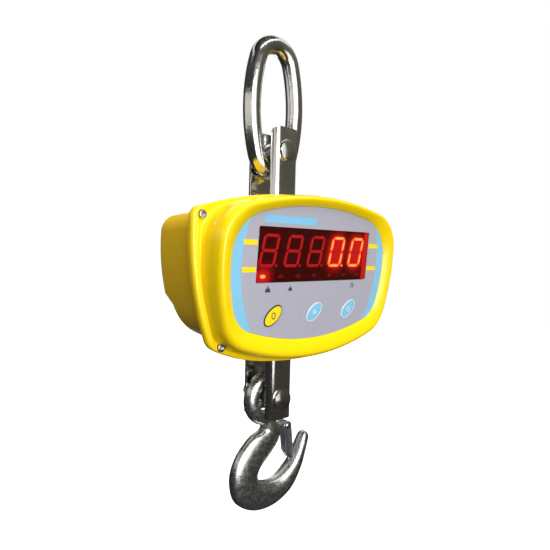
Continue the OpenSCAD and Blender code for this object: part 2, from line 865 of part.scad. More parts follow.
// Latch: folded sheet with two cheeks on the pin and a web that closes the throat
module latch() {
    knuckle = 5.1;
    reach = 41;
    shoulder = 31;
    depth = 7.2;
    tongue = 2.6;
    heel = knuckle - depth;
    tip = knuckle - tongue;
    cheek = [[knuckle, 0], [knuckle, reach], [tip, reach], [heel, shoulder], [heel, knuckle / 2]];
    color("lightsteelblue")
        at_pivot()
            rotate([0, -latch_lean, 0])
                difference() {
                    union() {
                        for (y = [-latch_w / 2, latch_w / 2 - latch_t])
                            along_y(y) linear_extrude(latch_t) {
                                circle(knuckle);
                                polygon(cheek);
                            }
                        translate([knuckle - latch_t, -latch_w / 2, -reach]) cube([latch_t, latch_w, reach]);
                    }
                    along_y(-latch_w) cylinder(r = pivot_r + slip, h = 2 * latch_w);
                }
}

// Key: oval cap with a foot that presses its switch
module panel_key(i) {
    depth = overlay_t + plate_t;
    on_panel()
        translate(key_places[i]) {
            translate([0, 0, -depth]) linear_extrude(depth + key_stand) key_outline();
            translate([0, 0, -key_foot]) cylinder(r = 4, h = key_foot - depth);
        }
}

module zero_key() { color("yellow") panel_key(0); }
module hold_key() { color("skyblue") panel_key(1); }
module power_key() { color("skyblue") panel_key(2); }

lifting_link();
load_cell();
gauge_covers();
upper_pin();
upper_nut();
lower_pin();
lower_nut();
front_cover();
rear_casing();
casing_gasket();
cover_screws();
column_seals();
battery_cover();
battery_screws();
battery_pack();
charge_socket();
charge_nut();
panel_plate();
panel_overlay();
display_window();
led_digits();
indicator_lamps();
display_board();
board_posts();
key_switches();
main_board();
board_spacers();
cell_brackets();
bracket_screws();
hook();
latch_pin();
latch_spring();
latch();
zero_key();
hold_key();
power_key();
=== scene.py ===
"""Dresses a hanging crane scale: link, forked column, moulded housing with a lit display, latched hook."""

import logging
from dataclasses import dataclass
from enum import Enum, IntEnum
from math import acos, asin, copysign, cos, degrees, exp, pi, radians, sin, sqrt, tan
from typing import Callable, Iterable, Sequence

import bmesh
import bpy
from bmesh.types import BMEdge
from bpy.types import Material, Node, NodeSocket, NodeTree, Object
from mathutils import Matrix, Vector

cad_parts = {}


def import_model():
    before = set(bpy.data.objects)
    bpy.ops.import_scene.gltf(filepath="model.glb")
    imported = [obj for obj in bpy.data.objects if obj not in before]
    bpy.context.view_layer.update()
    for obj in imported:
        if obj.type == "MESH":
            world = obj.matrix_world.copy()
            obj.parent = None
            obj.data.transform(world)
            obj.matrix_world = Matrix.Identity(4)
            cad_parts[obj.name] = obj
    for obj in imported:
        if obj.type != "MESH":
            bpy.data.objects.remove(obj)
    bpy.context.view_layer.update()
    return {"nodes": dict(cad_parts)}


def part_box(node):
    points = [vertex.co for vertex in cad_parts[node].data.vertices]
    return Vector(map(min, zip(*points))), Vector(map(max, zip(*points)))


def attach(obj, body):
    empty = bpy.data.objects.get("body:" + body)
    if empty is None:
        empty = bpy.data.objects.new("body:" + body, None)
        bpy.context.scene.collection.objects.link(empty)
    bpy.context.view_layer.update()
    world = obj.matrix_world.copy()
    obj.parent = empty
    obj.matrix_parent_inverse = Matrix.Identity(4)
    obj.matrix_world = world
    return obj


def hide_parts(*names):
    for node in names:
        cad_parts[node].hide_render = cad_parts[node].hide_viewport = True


LOG = logging.getLogger("crane_scale")
HOUSING_BODY = "scale"
LINK_BODY = "link"
HOOK_BODY = "swivel_hook"
LATCH_BODY = "throat_latch"

MM = 0.001
# Points nearer than this, in metres, are one
SAME_PLACE = 1e-6
IN_PLACE = Matrix.Identity(4).freeze()
FACING_FRONT = Matrix.Rotation(pi / 2, 4, "X").freeze()
FACING_BACK = Matrix.Rotation(-pi / 2, 4, "X").freeze()

Point = tuple[float, float]
Three = tuple[float, float, float]
Colour = Three
Points = list[Point]
Ring = list[Vector]


class Ends(Enum):
    """Ways to finish a lofted skin."""

    OPEN = "open"
    FLAT = "flat"
    JOINED = "joined"


class Facets(IntEnum):
    """Points round a circle, by its size."""

    SMALL = 40
    MEDIUM = 48
    LARGE = 64
    FULL = 72


class Bench:
    """Modelling operators, used on one piece at a time."""

    # Angle in degrees from which an edge is sharp
    SHARP = 40.0

    @staticmethod
    def clear() -> None:
        """Leaves nothing selected."""
        bpy.ops.object.select_all(action="DESELECT")

    @staticmethod
    def hold(piece: Object) -> None:
        """Selects one piece alone and makes it active.

        Args:
            piece: Piece to hold.
        """
        Bench.clear()
        piece.select_set(True)
        bpy.context.view_layer.objects.active = piece

    @staticmethod
    def take(name: str) -> Object:
        """Names the piece that the last operator added.

        Args:
            name: Name of the piece.

        Returns:
            The piece.
        """
        piece = bpy.context.object
        piece.name = name
        piece.data.name = name
        return piece

    @staticmethod
    def pick_edges(piece: Object, test: Callable[[BMEdge], bool]) -> None:
        """Selects the edges that pass a test, in edit mode.

        Args:
            piece: Piece in edit mode.
            test: Says whether an edge is selected.
        """
        bpy.ops.mesh.select_mode(type="EDGE")
        bpy.ops.mesh.select_all(action="DESELECT")
        mesh = bmesh.from_edit_mesh(piece.data)
        for edge in mesh.edges:
            if test(edge):
                edge.select_set(True)
        bmesh.update_edit_mesh(piece.data)

    @staticmethod
    def pick_open(piece: Object) -> None:
        """Selects the edges that bound an opening, in edit mode."""
        Bench.pick_edges(piece, lambda edge: edge.is_boundary)

    @staticmethod
    def modify(piece: Object, kind: str, **settings: object) -> None:
        """Adds a modifier, sets it and applies it.

        Args:
            piece: Piece to change.
            kind: Type of the modifier.
            settings: Values of the modifier's properties.
        """
        Bench.hold(piece)
        bpy.ops.object.modifier_add(type=kind)
        modifier = piece.modifiers[-1]
        for name, value in settings.items():
            setattr(modifier, name, value)
        bpy.ops.object.modifier_apply(modifier=modifier.name)

    @staticmethod
    def soften(piece: Object, width: float, segments: int) -> None:
        """Rounds the sharp edges of a piece, to a width in millimetres, with so many faces across."""
        limit = {"limit_method": "ANGLE", "angle_limit": radians(Bench.SHARP)}
        Bench.modify(piece, "BEVEL", width=width * MM, segments=segments, **limit)

    @staticmethod
    def cut(piece: Object, cutter: Object, operation: str = "DIFFERENCE") -> None:
        """Takes the cutter away from a piece, or keeps what they share, and uses the cutter up."""
        Bench.modify(piece, "BOOLEAN", object=cutter, operation=operation, solver="EXACT")
        bpy.data.objects.remove(cutter)

    @staticmethod
    def join(name: str, pieces: Sequence[Object]) -> Object:
        """Joins pieces into one.

        Args:
            name: Name of the joined piece.
            pieces: Pieces to join.

        Returns:
            The joined piece.
        """
        Bench.hold(pieces[0])
        for piece in pieces[1:]:
            piece.select_set(True)
        if len(pieces) > 1:
            bpy.ops.object.join()
        return Bench.take(name)

    @staticmethod
    def copy(piece: Object, name: str, place: Matrix) -> Object:
        """Copies a piece with its own mesh and puts the copy in place.

        Args:
            piece: Piece to copy.
            name: Name of the copy.
            place: Where the copy goes, from where the piece is.

        Returns:
            The copy.
        """
        Bench.hold(piece)
        bpy.ops.object.duplicate(linked=False)
        made = Bench.take(name)
        made.matrix_world = place @ made.matrix_world
        Bench.settle(made)
        return made

    @staticmethod
    def settle(piece: Object) -> None:
        """Puts a piece's place into its mesh, so that its object sits at the origin."""
        Bench.hold(piece)
        bpy.ops.object.transform_apply(location=True, rotation=True, scale=True)

    @staticmethod
    def tidy(piece: Object, angle: float = 35.0) -> Object:
        """Merges doubles, turns faces outwards and shades smooth below an angle.

        Args:
            piece: Piece to finish.
            angle: Largest angle in degrees that is shaded smooth.

        Returns:
            The piece.
        """
        Bench.settle(piece)
        bpy.ops.object.mode_set(mode="EDIT")
        bpy.ops.mesh.select_mode(type="VERT")
        bpy.ops.mesh.select_all(action="SELECT")
        bpy.ops.mesh.remove_doubles(threshold=SAME_PLACE)
        bpy.ops.mesh.normals_make_consistent(inside=False)
        bpy.ops.object.mode_set(mode="OBJECT")
        bpy.ops.object.shade_smooth_by_angle(angle=radians(angle))
        return piece

    @staticmethod
    def loft(name: str, rings: Sequence[Ring], ends: Ends = Ends.FLAT) -> Object:
        """Draws a circle into the first ring and extrudes it through the others.

        Args:
            name: Name of the piece.
            rings: Rings with the same number of points.
            ends: What closes the skin.

        Returns:
            The piece.
        """
        Bench.clear()
        bpy.ops.mesh.primitive_circle_add(vertices=len(rings[0]), radius=1.0, fill_type="NOTHING")
        piece = Bench.take(name)
        bpy.ops.object.mode_set(mode="EDIT")
        mesh = bmesh.from_edit_mesh(piece.data)
        for layer in ("spoke", "turn"):
            mesh.verts.layers.int.new(layer)
        spoke = mesh.verts.layers.int["spoke"]
        for index, vertex in enumerate(mesh.verts):
            vertex[spoke] = index
            vertex.co = rings[0][index]
        for number, ring in enumerate(rings[1:], 1):
            bmesh.update_edit_mesh(piece.data)
            bpy.ops.mesh.extrude_region()
            mesh = bmesh.from_edit_mesh(piece.data)
            spoke, turn = (mesh.verts.layers.int[layer] for layer in ("spoke", "turn"))
            for vertex in mesh.verts:
                if vertex.select:
                    vertex.co = ring[vertex[spoke]]
                    vertex[turn] = number
        bmesh.update_edit_mesh(piece.data)
        if ends is Ends.FLAT:
            for number in (0, len(rings) - 1):
                Bench.pick_edges(piece, lambda edge, ring=number: Bench.on_ring(edge, ring))
                bpy.ops.mesh.edge_face_add()
        if ends is Ends.JOINED:
            Bench.pick_open(piece)
            bpy.ops.mesh.bridge_edge_loops()
        bpy.ops.object.mode_set(mode="OBJECT")
        return Bench.tidy(piece)

    @staticmethod
    def on_ring(edge: BMEdge, number: int) -> bool:
        """Says whether an edge of the lofted piece in hand lies on the ring of a number."""
        turn = bmesh.from_edit_mesh(bpy.context.object.data).verts.layers.int["turn"]
        return all(vertex[turn] == number for vertex in edge.verts)


@dataclass(frozen=True)
class Outline:
    """Outline in millimetres as arcs, walked by the angle of its outward normal from straight up to down."""

    top: float
    radii: tuple[float, ...]
    stops: tuple[float, ...]

    def point(self, angle: float, offset: float = 0.0) -> Point:
        """Point on the right half.

        Args:
            angle: Angle of the outward normal from straight up, in degrees.
            offset: Distance outwards from the outline.

        Returns:
            Distance to the right and height over the outline's middle.
        """
        stops = [radians(stop) for stop in (*self.stops, 180.0)]
        arcs = list(zip(self.radii, stops, stops[1:]))
        closing = sum(radius * (sin(b) - sin(a)) for radius, a, b in arcs) / sin(stops[-2])
        here = radians(angle)
        across, height = offset * sin(here), self.top + offset * cos(here)
        for radius, a, b in [*arcs, (closing, stops[-2], stops[-1])]:
            reach = min(max(here, a), b)
            across += radius * (sin(reach) - sin(a))
            height -= radius * (cos(a) - cos(reach))
        return across, height


class Shapes:
    """Rings of points that the lofts are made from, in metres."""

    @staticmethod
    def between(first: Ring, second: Ring, share: float) -> Ring:
        """Ring part of the way from one ring to another."""
        return [a.lerp(b, share) for a, b in zip(first, second)]

    @staticmethod
    def moved(ring: Ring, place: Matrix) -> Ring:
        """Ring put in place."""
        return [place @ point for point in ring]

    @staticmethod
    def arc(middle: Point, radius: float, start: float, end: float, steps: int) -> Points:
        """Points along an arc, in equal steps from one angle to another, in degrees."""
        turns = [radians(start + (end - start) * step / steps) for step in range(steps + 1)]
        return [(middle[0] + radius * cos(turn), middle[1] + radius * sin(turn)) for turn in turns]

    @staticmethod
    def smooth(rings: Sequence[Ring], steps: int) -> list[Ring]:
        """Runs a smooth skin through rings.

        Args:
            rings: Rings to pass through.
            steps: Rings made for each ring given.

        Returns:
            More rings, from the first to the last.
        """
        made = []
        last = len(rings) - 1
        for index in range(last):
            four = [rings[max(0, min(last, index + shift))] for shift in (-1, 0, 1, 2)]
            for step in range(steps):
                made.append([Shapes.curve(*points, step / steps) for points in zip(*four)])
        made.append(rings[last])
        return made

    @staticmethod
    def curve(p: Vector, q: Vector, r: Vector, s: Vector, t: float) -> Vector:
        """Point at a share of the way along the smooth curve from the second of four points to the third."""
        bend, twist = 2 * p - 5 * q + 4 * r - s, 3 * q - p - 3 * r + s
        return 0.5 * (2 * q + (r - p) * t + bend * t**2 + twist * t**3)

    @staticmethod
    def disc(radius: float, along: float, count: int, flats: float = 0.0) -> Ring:
        """Circle round the Z axis, in millimetres, cut down to a hexagon if flats are given.

        Args:
            radius: Radius of the circle.
            along: Height of the ring.
            count: Number of points.
            flats: Distance across the hexagon's flats, or 0 for none.

        Returns:
            The ring in metres.
        """
        ring = []
        for index in range(count):
            angle = 2 * pi * index / count
            lean = (angle % (pi / 3)) - pi / 6
            reach = min(radius, flats / 2 / cos(lean)) if flats else radius
            ring.append(Vector((reach * cos(angle), reach * sin(angle), along)) * MM)
        return ring

    @staticmethod
    def turned(profile: Iterable[Sequence[float]], count: int, place: Matrix = IN_PLACE) -> list[Ring]:
        """Rings round a frame's Z, each from its radius, its height and any distance across flats."""
        rings = [Shapes.disc(radius, along, count, *flats) for radius, along, *flats in profile]
        return [Shapes.moved(ring, place) for ring in rings]

    @staticmethod
    def rounded(width: float, height: float, radius: float, along: float) -> Ring:
        """Rounded oblong round the Z axis, in millimetres.

        Args:
            width: Size along X.
            height: Size along Y.
            radius: Radius of the corners.
            along: Height of the ring.

        Returns:
            The ring in metres.
        """
        ring = []
        for corner, (side, rise) in enumerate(((1, 1), (-1, 1), (-1, -1), (1, -1))):
            middle = (side * (width / 2 - radius), rise * (height / 2 - radius))
            points = Shapes.arc(middle, radius, 90 * corner, 90 * corner + 90, steps=7)
            ring += [Vector((x, y, along)) * MM for x, y in points]
        return ring


@dataclass(frozen=True)
class Panel:
    """Leaning panel of the housing, with places on it given as right, up and out, in millimetres."""

    out: float = 70.0
    drop: float = 200.0
    tilt: float = 4.5

    def place(self, right: float, up: float, out: float = 0.0) -> Vector:
        """Place on the panel, in metres.

        Args:
            right: Distance to the viewer's right of the panel's middle.
            up: Distance up the panel.
            out: Distance out of the panel's face.

        Returns:
            The place in the part's frame.
        """
        lean = radians(self.tilt)
        return Vector((
            right,
            -self.out - up * sin(lean) - out * cos(lean),
            -self.drop + up * cos(lean) - out * sin(lean))) * MM

    def matrix(self, right: float = 0.0, up: float = 0.0, out: float = 0.0) -> Matrix:
        """Frame at a place on the panel, its Z pointing out of the panel."""
        facing = Matrix.Rotation(pi / 2 + radians(self.tilt), 4, "X")
        return Matrix.Translation(self.place(right, up, out)) @ facing


class Grains:
    """Node groups that the finishes share."""

    CLOUD_SPREAD = (0.32, 0.68)
    CLOUD_DETAIL = 4.0
    SKIN_DETAIL = 2.0
    SKIN_FINENESS = 5.0

    @staticmethod
    def start(name: str, inputs: dict[str, float], outputs: Iterable[str]) -> NodeTree:
        """Starts a node group with float inputs and outputs.

        Args:
            name: Name of the group.
            inputs: Input names with their values.
            outputs: Output names.

        Returns:
            The new group with its end nodes.
        """
        tree = bpy.data.node_groups.new(name, "ShaderNodeTree")
        for title, value in inputs.items():
            socket = tree.interface.new_socket(name=title, in_out="INPUT", socket_type="NodeSocketFloat")
            socket.default_value = value
        for title in outputs:
            tree.interface.new_socket(name=title, in_out="OUTPUT", socket_type="NodeSocketFloat")
        tree.nodes.new("NodeGroupInput").name = "in"
        tree.nodes.new("NodeGroupOutput").name = "out"
        return tree

    @staticmethod
    def link(tree: NodeTree, *links: tuple[Node, str, Node, str | int]) -> None:
        """Links nodes, each link as a node and its output, and a node and its input."""
        for start, output, end, entry in links:
            tree.links.new(start.outputs[output], end.inputs[entry])

    @staticmethod
    def surface() -> NodeTree:
        """Cloudy tone, roughness between two values, and a fine skin for bumps.

        Returns:
            The group, made on the first call.
        """
        if "surface_grain" in bpy.data.node_groups:
            return bpy.data.node_groups["surface_grain"]
        values = {"Scale": 60.0, "Low": 0.2, "High": 0.3}
        tree = Grains.start("surface_grain", values, ("Tone", "Roughness", "Height"))
        nodes, given, made = tree.nodes, tree.nodes["in"], tree.nodes["out"]
        place = nodes.new("ShaderNodeTexCoord")
        cloud = nodes.new("ShaderNodeTexNoise")
        cloud.inputs["Detail"].default_value = Grains.CLOUD_DETAIL
        spread = nodes.new("ShaderNodeMapRange")
        spread.inputs["From Min"].default_value = Grains.CLOUD_SPREAD[0]
        spread.inputs["From Max"].default_value = Grains.CLOUD_SPREAD[1]
        finer = nodes.new("ShaderNodeMath")
        finer.operation = "MULTIPLY"
        finer.inputs[1].default_value = Grains.SKIN_FINENESS
        skin = nodes.new("ShaderNodeTexNoise")
        skin.inputs["Detail"].default_value = Grains.SKIN_DETAIL
        mixed = nodes.new("ShaderNodeMix")
        Grains.link(
            tree, (place, "Object", cloud, "Vector"), (given, "Scale", cloud, "Scale"),
            (cloud, "Fac", spread, "Value"), (given, "Scale", finer, 0), (place, "Object", skin, "Vector"),
            (finer, "Value", skin, "Scale"), (spread, "Result", mixed, "Factor"), (given, "Low", mixed, "A"),
            (given, "High", mixed, "B"), (spread, "Result", made, "Tone"),
            (mixed, "Result", made, "Roughness"), (skin, "Fac", made, "Height"))
        return tree

    @staticmethod
    def rub() -> NodeTree:
        """Mask of the edges that handling keeps bright.

        Returns:
            The group, made on the first call.
        """
        if "edge_rub" in bpy.data.node_groups:
            return bpy.data.node_groups["edge_rub"]
        tree = Grains.start("edge_rub", {"Start": 0.51, "Full": 0.58}, ("Mask",))
        given, made = tree.nodes["in"], tree.nodes["out"]
        shape = tree.nodes.new("ShaderNodeNewGeometry")
        spread = tree.nodes.new("ShaderNodeMapRange")
        Grains.link(
            tree, (shape, "Pointiness", spread, "Value"), (given, "Start", spread, "From Min"),
            (given, "Full", spread, "From Max"), (spread, "Result", made, "Mask"))
        return tree


@dataclass(frozen=True)
class Surface:
    """Named material that is built once, with colours as linear values."""

    name: str

    def make(self) -> Material:
        """Builds the material, or gives the one built before.

        Returns:
            The material.
        """
        if self.name not in bpy.data.materials:
            material = bpy.data.materials.new(self.name)
            material.use_nodes = True
            self.wire(material.node_tree, material.node_tree.nodes["Principled BSDF"])
        return bpy.data.materials[self.name]

    def wire(self, tree: NodeTree, shader: Node) -> None:
        """Sets up the material's nodes, which each kind of surface does in its own way."""
        raise NotImplementedError

    def lay_on(self, piece: Object) -> Object:
        """Makes this the only material of a piece.

        Args:
            piece: Piece to finish.

        Returns:
            The piece.
        """
        piece.data.materials.clear()
        piece.data.materials.append(self.make())
        return piece


@dataclass(frozen=True)
class Finish(Surface):
    """Finish of a plain surface, with its grain counted per metre and its depth in millimetres."""

    colour: Colour
    metallic: float = 0.0
    rough: Point = (0.4, 0.48)
    grain: float = 120.0
    shade: float = 0.97
    depth: float = 0.0
    clear: float = 0.0
    rubbed: float = 0.0

    def wire(self, tree: NodeTree, shader: Node) -> None:
        """Mixes the colour, the roughness and the bumps from the shared grain.

        Args:
            tree: Nodes of the material.
            shader: Node that shades the surface.
        """
        shader.inputs["Metallic"].default_value = self.metallic
        shader.inputs["Transmission Weight"].default_value = self.clear
        grain = tree.nodes.new("ShaderNodeGroup")
        grain.node_tree = Grains.surface()
        for title, value in zip(("Scale", "Low", "High"), (self.grain, *self.rough)):
            grain.inputs[title].default_value = value
        tone = tree.nodes.new("ShaderNodeMix")
        tone.data_type = "RGBA"
        tone.inputs["A"].default_value = (*(part * self.shade for part in self.colour), 1.0)
        tone.inputs["B"].default_value = (*self.colour, 1.0)
        Grains.link(tree, (grain, "Tone", tone, "Factor"), (grain, "Roughness", shader, "Roughness"))
        tree.links.new(self.rub(tree, tone), shader.inputs["Base Color"])
        if self.depth:
            bump = tree.nodes.new("ShaderNodeBump")
            bump.inputs["Distance"].default_value = self.depth * MM
            Grains.link(tree, (grain, "Height", bump, "Height"), (bump, "Normal", shader, "Normal"))

    def rub(self, tree: NodeTree, tone: Node) -> NodeSocket:
        """Lightens the rubbed edges.

        Args:
            tree: Nodes of the material.
            tone: Node that puts out the plain colour.

        Returns:
            Socket with the colour to use.
        """
        if not self.rubbed:
            return tone.outputs["Result"]
        edges = tree.nodes.new("ShaderNodeGroup")
        edges.node_tree = Grains.rub()
        light = tree.nodes.new("ShaderNodeMix")
        light.data_type = "RGBA"
        bright = (min(1.0, part * (1 + self.rubbed)) for part in self.colour)
        light.inputs["B"].default_value = (*bright, 1.0)
        Grains.link(tree, (edges, "Mask", light, "Factor"), (tone, "Result", light, "A"))
        return light.outputs["Result"]


@dataclass(frozen=True)
class Glow(Surface):
    """Lit finish whose light follows the piece's glow value, from its edge colour to its middle colour."""

    base: Colour
    edge: Colour
    middle: Colour
    power: float
    rough: float = 0.5
    edge_glow: float = 0.5

    def wire(self, tree: NodeTree, shader: Node) -> None:
        """Colours the light by the glow value.

        Args:
            tree: Nodes of the material.
            shader: Node that shades the surface.
        """
        shader.inputs["Base Color"].default_value = (*self.base, 1.0)
        shader.inputs["Roughness"].default_value = self.rough
        shader.inputs["Emission Strength"].default_value = self.power
        value = tree.nodes.new("ShaderNodeAttribute")
        value.attribute_name = "glow"
        ramp = tree.nodes.new("ShaderNodeValToRGB")
        ramp.color_ramp.elements[0].color = (0.0, 0.0, 0.0, 1.0)
        ramp.color_ramp.elements[1].color = (*self.middle, 1.0)
        ramp.color_ramp.elements.new(self.edge_glow).color = (*self.edge, 1.0)
        Grains.link(tree, (value, "Fac", ramp, "Fac"), (ramp, "Color", shader, "Emission Color"))

    def light(self, piece: Object, level: Callable[[Vector], float]) -> Object:
        """Gives a piece this finish and its glow values.

        Args:
            piece: Piece to finish.
            level: Glow at a place, from 0 to 1.

        Returns:
            The piece.
        """
        values = piece.data.attributes.new("glow", "FLOAT", "POINT")
        for vertex, entry in zip(piece.data.vertices, values.data):
            entry.value = level(vertex.co)
        return self.lay_on(piece)


class Finishes:
    """Finishes of the scale and of the studio."""

    YELLOW_FRONT = Finish(
        "gloss_yellow_cover", (0.96, 0.69, 0.005), rough=(0.16, 0.22), grain=150, shade=0.98, depth=0.02)
    # The cover's yellow plastic made darker and more orange for the rear casing and battery door: painted
    # shade of the back
    YELLOW_REAR_PAINTED_SHADE = Finish(
        "gloss_yellow_casing_painted_shade", (0.95, 0.62, 0.02), rough=(0.2, 0.28), grain=150, shade=0.97, depth=0.03)
    LINK = Finish("polished_link", (0.72, 0.72, 0.7), 1.0, (0.12, 0.2), grain=60, shade=0.9, depth=0.1)
    COLUMN = Finish(
        "polished_column", (0.74, 0.74, 0.72), 1.0, (0.12, 0.2), grain=60, shade=0.88, depth=0.05)
    PIN = Finish("polished_pin", (0.7, 0.69, 0.65), 1.0, (0.12, 0.22), shade=0.9, depth=0.03)
    HOOK = Finish(
        "plated_forging", (0.78, 0.78, 0.76), 1.0, (0.22, 0.34),
        grain=240, shade=0.85, depth=0.14, rubbed=0.2)
    LATCH = Finish(
        "zinc_sheet", (0.6, 0.64, 0.7), 1.0, (0.32, 0.45), grain=150, shade=0.85, depth=0.05, rubbed=0.2)
    STEEL = Finish("bright_steel", (0.5, 0.5, 0.49), 1.0, (0.22, 0.34), grain=200, shade=0.88, depth=0.02)
    SPRING = Finish("spring_wire", (0.3, 0.3, 0.3), 1.0, (0.25, 0.35), grain=200, shade=0.85)
    RUBBER = Finish(
        "black_rubber", (0.025, 0.025, 0.025), rough=(0.55, 0.7), grain=200, shade=0.8, depth=0.05)
    BLACK = Finish(
        "black_moulding", (0.03, 0.03, 0.032), rough=(0.4, 0.5), grain=200, shade=0.85, depth=0.03)
    SLEEVE = Finish("battery_sleeve", (0.05, 0.16, 0.4), rough=(0.25, 0.4), grain=90, shade=0.85)
    PLATE = Finish("panel_plate", (0.32, 0.33, 0.37), rough=(0.4, 0.5), shade=0.9)
    BOARD = Finish("green_board", (0.03, 0.17, 0.06), rough=(0.3, 0.42), grain=150, shade=0.85)
    FILM = Finish("panel_film", (0.4, 0.405, 0.49), rough=(0.42, 0.5), depth=0.01)
    BLUE_INK = Finish("blue_ink", (0.22, 0.55, 0.82))
    YELLOW_INK = Finish("yellow_ink", (0.95, 0.72, 0.01))
    DARK_INK = Finish("dark_ink", (0.04, 0.04, 0.05), shade=0.9)
    PALE_INK = Finish("pale_ink", (0.75, 0.82, 0.88))
    WINDOW = Finish("red_window", (0.75, 0.22, 0.2), rough=(0.02, 0.05), grain=50, shade=0.98, clear=1.0)
    LIT = Glow("lit_bars", (0.3, 0.01, 0.01), (1.0, 0.22, 0.035), (1.0, 0.88, 0.2), 3.0)
    # Unlit digit bars given a dim red glow: painted glow, as these bars are not lit
    UNLIT_PAINTED_GLOW = Glow("unlit_bars_painted_glow", (0.25, 0.01, 0.012), (0.75, 0.05, 0.07), (0.85, 0.06, 0.08), 0.74)
    # Tray behind the digits: painted light spill, as the tray is no lamp
    PAINTED_HALO = Glow("painted_digit_halo", (0.02, 0.005, 0.005), (0.3, 0.006, 0.008), (1.0, 0.05, 0.05), 1.0)
    FLOOR = Finish("studio_floor", (0.82, 0.82, 0.82), rough=(0.6, 0.7), grain=2, shade=0.99)
    FLAG = Finish("studio_flag", (0.03, 0.03, 0.03), rough=(0.8, 0.9), grain=2, shade=0.95)
    PALE_FLAG = Finish("studio_pale_flag", (0.85, 0.85, 0.85), rough=(0.8, 0.9), grain=2, shade=0.95)
    SIDE_FLAG = Finish("studio_side_flag", (0.12, 0.115, 0.09), rough=(0.8, 0.9), grain=2, shade=0.95)


class Crew:
    """Hands finished pieces over to the frame."""

    @staticmethod
    def fit(piece: Object, body: str, *nodes: str) -> None:
        """Lets a piece ride on its body in place of the plain ones.

        Args:
            piece: Finished piece.
            body: Body that carries it.
            nodes: Plain pieces that it stands in for.
        """
        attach(piece, body)
        if nodes:
            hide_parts(*nodes)
        LOG.info("%s on %s: %d faces", piece.name, body, len(piece.data.polygons))

    @staticmethod
    def repeat(piece: Object, places: Sequence[Matrix], node: str, finish: Finish) -> None:
        """Copies a piece to each place, joins the copies and fits them to the housing.

        Args:
            piece: Piece at the origin, which is used up.
            places: Where the copies go.
            node: Plain piece that they stand in for.
            finish: Their finish.
        """
        copies = [Bench.copy(piece, f"{node}_{number}", place) for number, place in enumerate(places)]
        bpy.data.objects.remove(piece)
        joined = Bench.join(f"{node}_set", copies)
        Crew.fit(finish.lay_on(joined), HOUSING_BODY, node)


